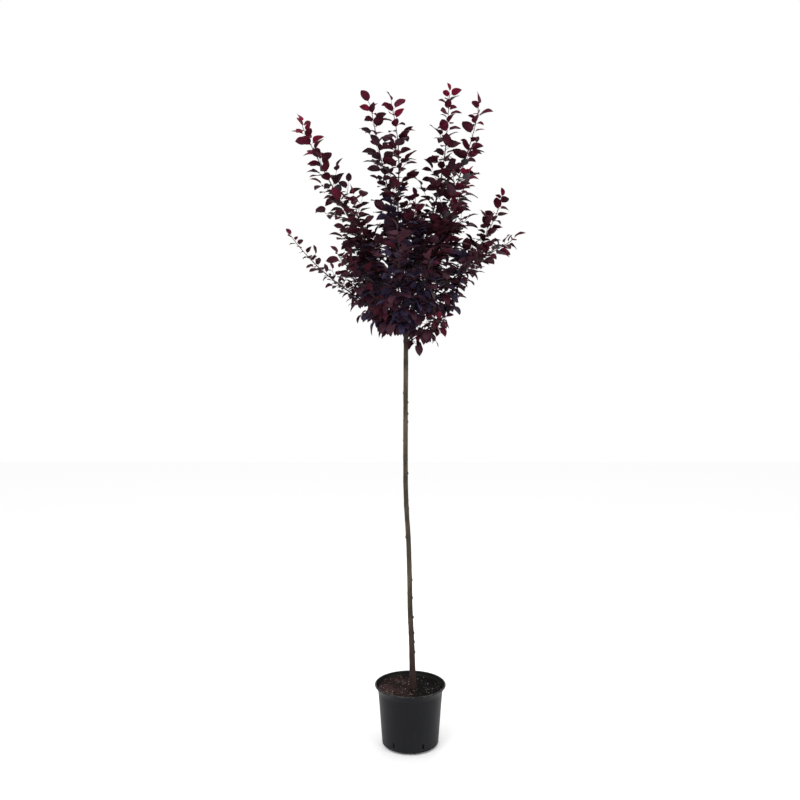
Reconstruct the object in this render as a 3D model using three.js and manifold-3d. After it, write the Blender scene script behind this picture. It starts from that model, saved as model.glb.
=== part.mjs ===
// A nigra cherry plum grown as a standard: a clear stem in a round nursery pot, with an open,
// vase-shaped head of dark purple leaves. Millimetres, Z up, X to the right and Y to the back.
// The origin is the centre of the pot's flat underside.
//
// Pot, compost, trunk and every bough are solids of their own. Each mass of foliage is one solid:
// a leading shoot, the twigs that branch from it by a seeded rule, and the leaves on both.
import * as THREE from "three";
import { mergeVertices } from "three/addons/utils/BufferGeometryUtils.js";
import Module from "manifold-3d";

const wasm = await Module();
wasm.setup();

// Clear space between two solids that touch on the real plant.
const SEAT = 0.3;

// The pot: a wall that widens upwards, flares out under its rim and ends in a rounded lip.
const POT_HEIGHT = 250;
const POT_BASE_RADIUS = 118;
const POT_NECK_RADIUS = 135;
const POT_NECK_HEIGHT = 214;
const POT_RIM_RADIUS = 150;
const POT_LIP = 7;
const POT_WALL = 2.6;
const POT_FLOOR = 3;
const POT_CORNER = 22;
const POT_CORNER_STEPS = 3;
const POT_SIDES = 32;
const FLARE_CURVE = 1.6;
const FLARE_STEPS = [0, 0.3, 0.6];
const LIP_START = -50;
const LIP_STEPS = 5;
const DRAIN_COUNT = 6;
const DRAIN_WIDTH = 8;
const DRAIN_FOOT = 23;
const DRAIN_HEIGHT = 20;
const DRAIN_DEPTH = 30;
const DRAIN_TURN = -35;

// The compost fills the pot up to the last step of its flare. It is a little heaped on the left and
// level where the trunk stands.
const FLARE_RISE = POT_HEIGHT - POT_LIP - POT_NECK_HEIGHT;
const SOIL_LEVEL = POT_NECK_HEIGHT + FLARE_RISE * FLARE_STEPS.at(-1);
const SOIL_HEAP = 6;
const SOIL_DIP = -0.5;
const SOIL_ROUGHNESS = 2.4;
const SOIL_RINGS = 5;
const SOIL_PAD_RADIUS = 26;
const SOIL_PAD_SIDES = 24;

// How fast the compost's lumps come and go along X, along Y and across both, in radians a mm.
const LUMPS_X = 0.061;
const LUMPS_Y = 0.073;
const LUMPS_ACROSS = 0.11;
const LUMPS_SHIFT = 1.3;

// The trunk. TRUNK_LINE gives where its middle stands, as [height, X]: it leans to the left in its
// lower metre and then stands straight up to the head.
const TRUNK_LINE = [
  [200, 11],
  [330, 8.5],
  [430, 5.5],
  [560, -0.5],
  [700, -3],
  [850, -7.5],
  [1010, -17],
  [1120, -20],
  [1400, -20],
  [1650, -18.6],
  [1900, -19],
];
const TRUNK_FOOT_X = 11;
const TRUNK_SWAY = 3;
const TRUNK_SWAY_LENGTH = 1150;
const TRUNK_TOP = 1866;
const TRUNK_DOME = 4;
const TRUNK_DOME_SHARE = 0.55;
const TRUNK_RADIUS = 8.8;
const TRUNK_FOOT_SWELL = 3.6;
const TRUNK_SWELL_HEIGHT = 260;
const ROOT_FLARE = 4.5;
const ROOT_FLARE_HEIGHT = 24;
const ROOT_LOBES = 5;
const ROOT_LOBE_DEPTH = 0.1;
const HEAD_TAPER = 1.4;
const HEAD_TAPER_FROM = 1700;
const TRUNK_RINGS = 26;
const TRUNK_RING_SPACING = 1.35;
const TRUNK_SIDES = 10;
const BUD_COUNT = 11;
const BUD_FIRST = 150;
const BUD_PITCH = 122;
const BUD_RADIUS = 4.6;
const BUD_SHAPE = [0.8, 0.8, 1.3];
const BUD_LIFT = 0.4;
const BUD_SINK = 1.2;
const GOLDEN_TURN = 137.5;

// Limbs and twigs.
const BOUGH_SIDES = 6;
const BOUGH_RINGS = 4;
const BOUGH_COLLAR = 15;
const BOUGH_COLLAR_SWELL = 1.12;
const BOUGH_ROOT_SHARE = 0.7;
const BOUGH_SHARE = 0.15;
const BOUGH_SHORTEST = 84;
const BOUGH_LONGEST = 132;
const SHOOT_START_SHARE = 0.75;
const SHOOT_SLACK = 1.04;
const LEADER_TAPER = 0.75;
const LEADER_SIDES = 4;
const LEADER_STEP = 95;
const LEADER_TIP_RADIUS = 1.8;
const TWIG_RADIUS = 2.6;
const TWIG_TIP_RADIUS = 1.6;
const TWIG_TAPER = 0.008;
const TWIG_BEND = 0.55;
const TWIG_BEND_SHARE = 0.85;
const TWIG_START = 14;
const SKIRT_TWIG_START = 40;
const TWIG_PITCH = 66;
const TWIG_ANGLE = 52;
const TWIG_LONGEST = 125;
const TWIG_SHORTEST = 34;
const TWIG_GROWTH = 0.25;
const BARE_TIP_SHARE = 0.28;
const SHORT_BELOW = 0.9;
const TWIG_LIFT = 0.16;
const TWIG_SAG = 0.08;
const WANDER = 0.022;
const WANDER_TURNS = 2.3;
const WANDER_LIFT = 0.4;
const LINE_STEP = 55;
const BOUGH_LINE_STEP = 30;

// Whole numbers and shares that tell one shoot's growth from the next.
const SEED_STEP = 7919;
const SEED_FIRST = 3;
const PHASE_STEP = 0.37;
const TURN_STEP = 53;

// How far each twig and leaf may differ from the rule, as shares or in degrees either way.
const TWIG_LENGTH_RANGE = [0.8, 1.1];
const PITCH_RANGE = [0.85, 1.15];
const BREADTH_RANGE = [0.88, 1.08];
const DROOP_RANGE = [0.5, 1.1];
const TWIG_ANGLE_RANGE = [-9, 9];
const LEAF_ANGLE_RANGE = [-10, 10];

// Leaves, somewhat larger than life, as there are fewer of them.
const LEAF_LENGTH = 66;
const LEAF_BREADTH = 0.56;
const LEAF_THICKNESS = 0.04;
const LEAF_FOLD = 0.055;
const LEAF_WIDEST = 0.44;
const LEAF_ROOT = -0.012;
const LEAF_ROLL = 38;
const LEAF_VARIATION = 0.28;
const CORE_LEAF_GAIN = 0.5;
const LEAF_ANGLE = 58;
const LEADER_LEAF_START = 20;
const LEADER_LEAF_END = 12;
const LEADER_LEAF_PITCH = 35;
const TWIG_LEAF_PITCH = 35;
const TWIG_LEAF_PLACE = 0.75;
const HANGING_BELOW = 1880;
const LEVEL_ABOVE = 2250;
const LEAF_LIFT = 0.1;
const LEAF_DROOP = 1.15;
const LEAST_DROOP = 0.12;
const OUTER_DROOP = 0.25;
const DROOP_WITHIN = 100;
const DROOP_FADE = 180;

// How near a leaf or twig may come to another mass's space, and to a limb.
const SPACE_MARGIN = 5;
const LIMB_MARGIN = 3.5;
const LEAF_CLEARANCE = 11;
const LEAF_TRIES = 3;

// Faces nearer to each other than this are merged after a join.
const FINEST = 0.08;

// Below this length, the part of a direction that stands across a line is too short to use.
const NEARLY_ALONG = 0.2;

// A limb that starts more sideways than this counts its corners round from Y, any other from X.
const MOSTLY_SIDEWAYS = 0.8;

// One row for each bough and the mass that it carries: the compass turn it grows in (degrees, from
// the right, by way of the back), how far out and how high its leading shoot ends, where it leaves
// the trunk, its radius there, how early it swings outwards, how late it rises, how large its leaves
// are, and how long its side twigs are.
const SHOOT_FIELDS = [
  "name",
  "turn",
  "reach",
  "top",
  "foot",
  "radius",
  "spread",
  "rise",
  "leaf",
  "twigs",
];
const SHOOTS = [
  ["left_low", 188, 480, 2122, 1772, 5.0, 1.1, 1.25, 0.65, 0.45],
  ["left_high", 161, 480, 2665, 1822, 6.4, 1.1, 1.0, 1.1, 1.25],
  ["back_left_high", 139, 222, 2775, 1848, 5.8, 0.72, 1.0, 1.05, 0.5],
  ["back_left_low", 124, 410, 2160, 1734, 5.6, 1.2, 0.9, 1.0, 0.8],
  ["back", 83, 428, 2360, 1796, 6.0, 1.3, 1.0, 1.0, 0.8],
  ["back_right_low", 62, 380, 2200, 1754, 5.4, 1.2, 0.85, 1.0, 0.7],
  ["back_right_high", 30, 238, 2800, 1824, 6.0, 1.3, 1.0, 1.05, 0.75],
  ["right_mid", 17, 446, 2340, 1774, 5.8, 1.4, 1.1, 1.0, 0.5],
  ["right_low", 350, 445, 2112, 1718, 5.4, 1.1, 0.55, 0.95, 0.35],
  ["right_high", 339, 312, 2645, 1794, 6.0, 1.25, 1.0, 1.1, 0.9],
  ["front_right_low", 287, 300, 1990, 1700, 5.2, 1.1, 0.85, 0.9, 0.8],
  ["front_right", 316, 330, 2330, 1752, 5.0, 1.15, 0.9, 1.0, 0.9],
  ["front_low", 264, 400, 2062, 1720, 5.6, 1.3, 1.1, 1.0, 0.9],
  ["front_high", 255, 202, 2632, 1836, 5.6, 1.3, 1.0, 1.1, 0.6],
  ["left_mid", 205, 243, 2272, 1790, 5.2, 1.2, 1.0, 1.05, 1.0],
  ["front_left", 217, 340, 2020, 1742, 5.6, 1.2, 0.9, 1.0, 0.65],
];

// Short shoots that leave the trunk below the boughs and hang round it, and one that fills the
// middle of the head. None of them has a bough of its own.
const BOUGHLESS = [
  ["skirt_1", 2, 166, 1796, 1700, 3.2, 1.2, 0.8, 0.78, 1.0],
  ["skirt_2", 77, 140, 1830, 1724, 3.2, 1.2, 0.7, 0.85, 0.8],
  ["skirt_3", 149, 180, 1880, 1750, 3.2, 1.2, 0.7, 0.85, 1.0],
  ["skirt_4", 236, 190, 1856, 1704, 3.2, 1.2, 0.7, 0.85, 1.0],
  ["skirt_5", 314, 205, 1775, 1684, 3.2, 1.2, 0.8, 0.78, 1.0],
  ["heart", 320, 52, 2300, 1860, 4.6, 1.2, 1.0, 1.0, 0.8],
];

const FINISH = {
  pot: { color: 0x2b2b2e, roughness: 0.55, metalness: 0 },
  soil: { color: 0x2a1c17, roughness: 0.97, metalness: 0 },
  bark: { color: 0x5b544a, roughness: 0.85, metalness: 0 },
  bough: { color: 0x3a2a2a, roughness: 0.8, metalness: 0 },
  foliage: { color: 0x3d1420, roughness: 0.6, metalness: 0 },
};

const UP = new THREE.Vector3(0, 0, 1);
const radians = THREE.MathUtils.degToRad;
const lerp = THREE.MathUtils.lerp;
const clamp = THREE.MathUtils.clamp;

// A repeatable stream of numbers from 0 to 1.
class Seeded {
  constructor(seed) {
    this.state = seed;
    this.next();
  }

  next() {
    this.state = (this.state * 48271) % 2147483647;
    return this.state / 2147483647;
  }

  between(low, high) {
    return low + (high - low) * this.next();
  }
}

// A closed geometry as a solid, with the corners that its faces share merged.
function solidOf(geometry) {
  const bare = geometry.clone();
  bare.deleteAttribute("normal");
  bare.deleteAttribute("uv");
  const merged = mergeVertices(bare, 1e-4);
  return solidFrom(merged.attributes.position.array, merged.index.array);
}

function solidFrom(corners, faces) {
  const vertProperties = new Float32Array(corners);
  const triVerts = new Uint32Array(faces);
  return new wasm.Manifold(new wasm.Mesh({ numProp: 3, vertProperties, triVerts }));
}

// The largest body of a solid, without the loose scraps that a cut or a skipped root leaves.
function largestBody(solid) {
  const bodies = solid.decompose();
  const largest = bodies.reduce((best, body) => (body.volume() > best.volume() ? body : best));
  return largest.simplify(FINEST);
}

function meshOf(name, solid, finish) {
  const { vertProperties, triVerts } = solid.getMesh();
  const geometry = new THREE.BufferGeometry();
  geometry.setAttribute("position", new THREE.BufferAttribute(vertProperties, 3));
  geometry.setIndex(new THREE.BufferAttribute(triVerts, 1));
  geometry.computeVertexNormals();
  const mesh = new THREE.Mesh(geometry, new THREE.MeshStandardMaterial(finish));
  mesh.name = name;
  return mesh;
}

// A lathe about Z: the profile is [radius, height] pairs, walked so that the faces point outwards.
function turned(profile, sides) {
  const points = profile.map(([radius, height]) => new THREE.Vector2(radius, height));
  return new THREE.LatheGeometry(points, sides).rotateX(Math.PI / 2);
}

function arc(centreR, centreZ, radius, from, to, steps) {
  return Array.from({ length: steps + 1 }, (_, i) => {
    const angle = radians(lerp(from, to, i / steps));
    return [centreR + radius * Math.cos(angle), centreZ + radius * Math.sin(angle)];
  });
}

function outerRadius(z) {
  return lerp(POT_BASE_RADIUS, POT_NECK_RADIUS, z / POT_NECK_HEIGHT);
}

// Points of the flare under the rim, from the neck up, a wall's width in from its outer face.
function flare(wall) {
  const spread = POT_RIM_RADIUS - POT_LIP / 2 - POT_NECK_RADIUS;
  return FLARE_STEPS.map((share) => [
    POT_NECK_RADIUS - wall + spread * share ** FLARE_CURVE,
    POT_NECK_HEIGHT + FLARE_RISE * share,
  ]);
}

function potSolid() {
  const lip = POT_LIP / 2;
  const outside = [
    [0, 0],
    ...arc(outerRadius(0) - POT_CORNER, POT_CORNER, POT_CORNER, -90, 0, POT_CORNER_STEPS),
    ...flare(0),
    ...arc(POT_RIM_RADIUS - lip, POT_HEIGHT - lip, lip, LIP_START, 180, LIP_STEPS),
  ];
  const inside = [
    ...flare(POT_WALL).reverse(),
    [outerRadius(POT_CORNER) - POT_WALL, POT_CORNER],
    [outerRadius(0) - POT_CORNER, POT_FLOOR],
    [0, POT_FLOOR],
  ];
  let pot = solidOf(turned([...outside, ...inside], POT_SIDES));
  const slot = new THREE.BoxGeometry(DRAIN_WIDTH, DRAIN_DEPTH, DRAIN_HEIGHT);
  for (let i = 0; i < DRAIN_COUNT; i++) {
    const cutter = slot
      .clone()
      .translate(0, -POT_BASE_RADIUS, DRAIN_FOOT + DRAIN_HEIGHT / 2)
      .rotateZ(radians(DRAIN_TURN + (i * 360) / DRAIN_COUNT));
    pot = pot.subtract(solidOf(cutter));
  }
  return pot;
}

// Height of the compost's top at a point seen from above.
function soilHeight(x, y) {
  const out = Math.hypot(x - TRUNK_FOOT_X, y);
  const away = clamp((out - SOIL_PAD_RADIUS) / SOIL_PAD_RADIUS, 0, 1);
  const heap = SOIL_HEAP * clamp(-x / POT_NECK_RADIUS, SOIL_DIP, 1);
  const coarse = Math.sin(x * LUMPS_X + LUMPS_SHIFT) * Math.cos(y * LUMPS_Y);
  const lumps = coarse + Math.sin((x + y) * LUMPS_ACROSS) / 2;
  return SOIL_LEVEL + away * (heap + SOIL_ROUGHNESS * lumps);
}

function soilSolid() {
  const clear = POT_WALL + 2 * SEAT;
  const bottom = POT_FLOOR + SEAT;
  const corner = [outerRadius(0) - POT_CORNER - SEAT, bottom];
  const wall = [outerRadius(POT_CORNER) - clear, POT_CORNER + SEAT];
  const side = flare(clear);
  const edge = side.at(-1)[0];
  const top = Array.from({ length: SOIL_RINGS }, (_, i) => {
    return [edge * (1 - (i + 1) / SOIL_RINGS), SOIL_LEVEL];
  });
  const geometry = turned([[0, bottom], corner, wall, ...side, ...top], POT_SIDES);
  const corners = geometry.attributes.position;
  for (let i = 0; i < corners.count; i++) {
    const [x, y] = [corners.getX(i), corners.getY(i)];
    const onTop = corners.getZ(i) > SOIL_LEVEL - 1;
    if (onTop && Math.hypot(x, y) < edge - 1) corners.setZ(i, soilHeight(x, y));
  }
  const pad = [SOIL_PAD_RADIUS, SOIL_PAD_RADIUS, 2 * SOIL_HEAP, SOIL_PAD_SIDES];
  const cutter = new THREE.CylinderGeometry(...pad)
    .rotateX(Math.PI / 2)
    .translate(TRUNK_FOOT_X, 0, SOIL_LEVEL + SOIL_HEAP);
  return solidOf(geometry).subtract(solidOf(cutter));
}

// How fast the trunk's line shifts sideways at one of its rows.
function leanAt(row) {
  const after = TRUNK_LINE[Math.min(row + 1, TRUNK_LINE.length - 1)];
  const before = TRUNK_LINE[Math.max(row - 1, 0)];
  return (after[1] - before[1]) / (after[0] - before[0]);
}

// The trunk's axis at a height: a smooth curve through the rows of its line.
function trunkAxis(z) {
  const row = TRUNK_LINE.findIndex(([height]) => height > z) - 1;
  const [low, start] = TRUNK_LINE[row];
  const [high, end] = TRUNK_LINE[row + 1];
  const span = high - low;
  const s = (z - low) / span;
  const lean = (1 - s) ** 2 * s * leanAt(row) - s ** 2 * (1 - s) * leanAt(row + 1);
  const x = lerp(start, end, s * s * (3 - 2 * s)) + lean * span;
  const y = TRUNK_SWAY * Math.sin((2 * Math.PI * (z - SOIL_LEVEL)) / TRUNK_SWAY_LENGTH);
  return new THREE.Vector3(x, y, z);
}

function trunkRadius(z) {
  const height = z - SOIL_LEVEL;
  const swell = TRUNK_FOOT_SWELL * Math.exp(-height / TRUNK_SWELL_HEIGHT);
  const rootFlare = ROOT_FLARE * Math.exp(-height / ROOT_FLARE_HEIGHT);
  const nearHead = clamp((z - HEAD_TAPER_FROM) / (TRUNK_TOP - HEAD_TAPER_FROM), 0, 1);
  return TRUNK_RADIUS + swell + rootFlare - HEAD_TAPER * nearHead;
}

// A closed tapering limb: rings of corners square to the line of points, or level, with flat ends.
// slopes may give each ring's direction, and lobe swells a ring by a share at an angle round it.
function limb(points, radii, sides, { slopes, lobe = () => 0 } = {}) {
  const last = points.length - 1;
  const corners = [];
  const faces = [];
  let side = new THREE.Vector3(1, 0, 0);
  points.forEach((point, i) => {
    const ahead = points[Math.min(i + 1, last)];
    const slope = ahead.clone().sub(points[Math.max(i - 1, 0)]).normalize();
    const along = slopes ? slopes[i] : slope;
    if (i === 0 && Math.abs(along.x) > MOSTLY_SIDEWAYS) side = new THREE.Vector3(0, 1, 0);
    side = side.clone().addScaledVector(along, -side.dot(along)).normalize();
    const other = along.clone().cross(side);
    for (let k = 0; k < sides; k++) {
      const angle = (2 * Math.PI * k) / sides;
      const radius = radii[i] * (1 + lobe(angle, point));
      const corner = point
        .clone()
        .addScaledVector(side, radius * Math.cos(angle))
        .addScaledVector(other, radius * Math.sin(angle));
      corners.push(corner.x, corner.y, corner.z);
    }
  });
  for (let i = 0; i < last; i++) {
    for (let k = 0; k < sides; k++) {
      const a = i * sides + k;
      const b = i * sides + ((k + 1) % sides);
      faces.push(a, b, b + sides, a, b + sides, a + sides);
    }
  }
  for (let k = 1; k < sides - 1; k++) {
    faces.push(0, k + 1, k);
    faces.push(last * sides, last * sides + k, last * sides + k + 1);
  }
  return solidFrom(corners, faces);
}

function trunkLimb(foot, extra) {
  const points = [];
  const radii = [];
  for (let i = 0; i <= TRUNK_RINGS; i++) {
    const z = lerp(foot, TRUNK_TOP, (i / TRUNK_RINGS) ** TRUNK_RING_SPACING);
    points.push(trunkAxis(z));
    radii.push(trunkRadius(z) + extra);
  }
  points.push(trunkAxis(TRUNK_TOP).setZ(TRUNK_TOP + TRUNK_DOME + extra));
  radii.push(trunkRadius(TRUNK_TOP) * TRUNK_DOME_SHARE + extra);
  const lobe = (angle, point) => {
    const fade = Math.exp(-(point.z - SOIL_LEVEL) / ROOT_FLARE_HEIGHT);
    return ROOT_LOBE_DEPTH * Math.cos(angle * ROOT_LOBES) * fade;
  };
  return limb(points, radii, TRUNK_SIDES, { slopes: points.map(() => UP), lobe });
}

function trunkSolid() {
  const pieces = [trunkLimb(SOIL_LEVEL + SEAT, 0)];
  for (let i = 0; i < BUD_COUNT; i++) {
    const z = SOIL_LEVEL + BUD_FIRST + i * BUD_PITCH;
    const turn = radians(i * GOLDEN_TURN);
    const out = new THREE.Vector3(Math.cos(turn), Math.sin(turn), BUD_LIFT).normalize();
    const at = trunkAxis(z).addScaledVector(out, trunkRadius(z) - BUD_SINK);
    const bud = new THREE.IcosahedronGeometry(BUD_RADIUS, 0)
      .scale(...BUD_SHAPE)
      .translate(at.x, at.y, at.z);
    pieces.push(solidOf(bud));
  }
  return largestBody(wasm.Manifold.union(pieces));
}

// The line that a shoot grows along, from the trunk (0) to its end (1).
function shootPoint(shoot, t) {
  const start = trunkAxis(shoot.foot);
  const turn = radians(shoot.turn);
  const out = shoot.startOut + (shoot.reach - shoot.startOut) * (1 - (1 - t) ** shoot.spread);
  const swing = Math.sin(Math.PI * (WANDER_TURNS * t + shoot.phase));
  const sway = WANDER * shoot.length * swing * t;
  const height = (shoot.top - shoot.foot) * t ** shoot.rise + sway * WANDER_LIFT;
  return new THREE.Vector3(
    start.x + out * Math.cos(turn) - sway * Math.sin(turn),
    start.y + out * Math.sin(turn) + sway * Math.cos(turn),
    shoot.foot + height,
  );
}

function shootSlope(shoot, t) {
  const step = 1e-3;
  const inside = clamp(t, 0.01, 1 - 2 * step);
  return shootPoint(shoot, inside + step).sub(shootPoint(shoot, inside - step)).normalize();
}

// Evenly spread shares of a shoot from one length to another, about a step apart.
function sharesOf(shoot, from, to, step) {
  const count = Math.max(2, Math.round((to - from) / step));
  return Array.from({ length: count + 1 }, (_, i) => lerp(from, to, i / count) / shoot.length);
}

function shootLine(shoot, from, to, step) {
  return sharesOf(shoot, from, to, step).map((t) => shootPoint(shoot, t));
}

function shootRadius(shoot, t) {
  return lerp(shoot.radius, LEADER_TIP_RADIUS, t ** LEADER_TAPER);
}

// Completes a row of a table with what follows from it.
function plan(row, index) {
  const shoot = Object.fromEntries(row.map((value, i) => [SHOOT_FIELDS[i], value]));
  shoot.length = Math.hypot(shoot.reach, shoot.top - shoot.foot) * SHOOT_SLACK;
  const share = clamp(shoot.length * BOUGH_SHARE, BOUGH_SHORTEST, BOUGH_LONGEST);
  shoot.boughLength = index < SHOOTS.length ? share : 0;
  const onHead = shoot.foot > TRUNK_TOP - BOUGH_COLLAR;
  shoot.startOut = onHead ? 0 : trunkRadius(shoot.foot) * SHOOT_START_SHARE;
  shoot.seed = SEED_STEP * (index + SEED_FIRST);
  shoot.phase = (index * PHASE_STEP) % 1;
  shoot.firstTurn = radians(index * TURN_STEP);
  shoot.line = shootLine(shoot, 0, shoot.length, LINE_STEP);
  return shoot;
}

const shoots = [...SHOOTS, ...BOUGHLESS].map(plan);

const closest = new THREE.Vector3();
const segment = new THREE.Line3();

function distanceToLine(point, line) {
  let best = Infinity;
  for (let i = 0; i + 1 < line.length; i++) {
    segment.set(line[i], line[i + 1]).closestPointToPoint(point, true, closest);
    best = Math.min(best, closest.distanceTo(point));
  }
  return best;
}

// Whether a point is in a mass's own space: nearer to its leading shoot than to any other's.
function inOwnSpace(point, shoot) {
  const own = distanceToLine(point, shoot.line) + SPACE_MARGIN;
  return shoots.every((other) => other === shoot || distanceToLine(point, other.line) > own);
}

function touchesLimb(point) {
  if (point.z < TRUNK_TOP + 2 * LIMB_MARGIN) {
    const axis = trunkAxis(Math.min(point.z, TRUNK_TOP));
    const reach = trunkRadius(axis.z) + LIMB_MARGIN;
    if (Math.hypot(point.x - axis.x, point.y - axis.y) < reach) return true;
  }
  return shoots.some((other) => {
    if (!other.boughLine) return false;
    return distanceToLine(point, other.boughLine) < other.radius + LIMB_MARGIN;
  });
}

function boughSolid(shoot, trunkCutter) {
  const shares = sharesOf(shoot, 0, shoot.boughLength, shoot.boughLength / BOUGH_RINGS);
  const root = trunkAxis(shoot.foot - BOUGH_COLLAR);
  const points = [root, ...shares.map((t) => shootPoint(shoot, t))];
  const radii = [shoot.radius * BOUGH_ROOT_SHARE, ...shares.map((t) => shootRadius(shoot, t))];
  radii[1] *= BOUGH_COLLAR_SWELL;
  const slopes = [UP, ...shares.map((t) => shootSlope(shoot, t))];
  const piece = limb(points, radii, BOUGH_SIDES, { slopes });
  return largestBody(piece.subtract(trunkCutter));
}

// An upright frame on a line: one axis square to it that points away from the trunk, one sideways.
function frameOn(along, outward) {
  const across = outward.clone().addScaledVector(along, -outward.dot(along));
  if (across.length() < NEARLY_ALONG) across.copy(UP).addScaledVector(along, -UP.dot(along));
  across.normalize();
  return { across, sideways: along.clone().cross(across) };
}

// The direction that leaves a line at an angle, at a turn round it.
function branching(along, outward, turn, angle) {
  const frame = frameOn(along, outward);
  return along
    .clone()
    .multiplyScalar(Math.cos(angle))
    .addScaledVector(frame.across, Math.sin(angle) * Math.cos(turn))
    .addScaledVector(frame.sideways, Math.sin(angle) * Math.sin(turn));
}

// A leaf of eight faces: a slim, four-cornered blade folded along its midrib.
function leafSolid(root, direction, length, breadth, roll) {
  const along = direction.clone().normalize();
  const flat = frameOn(along, UP);
  const normal = flat.across
    .clone()
    .multiplyScalar(Math.cos(roll))
    .addScaledVector(flat.sideways, Math.sin(roll));
  const side = along.clone().cross(normal);
  const place = (forward, sideways, upward) =>
    root
      .clone()
      .addScaledVector(along, forward * length)
      .addScaledVector(side, sideways * length)
      .addScaledVector(normal, upward * length);
  const half = LEAF_THICKNESS / 2;
  const corners = [
    place(LEAF_ROOT, 0, 0),
    place(LEAF_WIDEST, breadth / 2, LEAF_FOLD),
    place(LEAF_WIDEST, 0, half),
    place(LEAF_WIDEST, -breadth / 2, LEAF_FOLD),
    place(1, 0, -LEAF_FOLD),
    place(LEAF_WIDEST, 0, -half),
  ];
  const faces = [0, 1, 2, 0, 2, 3, 4, 2, 1, 4, 3, 2, 0, 5, 1, 0, 3, 5, 4, 1, 5, 4, 5, 3];
  return { corners, faces };
}

// How low a height lies in the head: 1 where leaves hang, 0 near the top, where they stand level.
function lowness(z) {
  return clamp((LEVEL_ABOVE - z) / (LEVEL_ABOVE - HANGING_BELOW), 0, 1);
}

// How far a leaf droops: most low down and near the middle of the head, least at its outside.
function droopAt({ x, y, z }) {
  const out = Math.hypot(x - trunkAxis(TRUNK_TOP).x, y);
  const inside = 1 - clamp((out - DROOP_WITHIN) / DROOP_FADE, 0, 1);
  return LEAF_DROOP * Math.max(LEAST_DROOP, lowness(z) * lerp(OUTER_DROOP, 1, inside));
}

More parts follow.
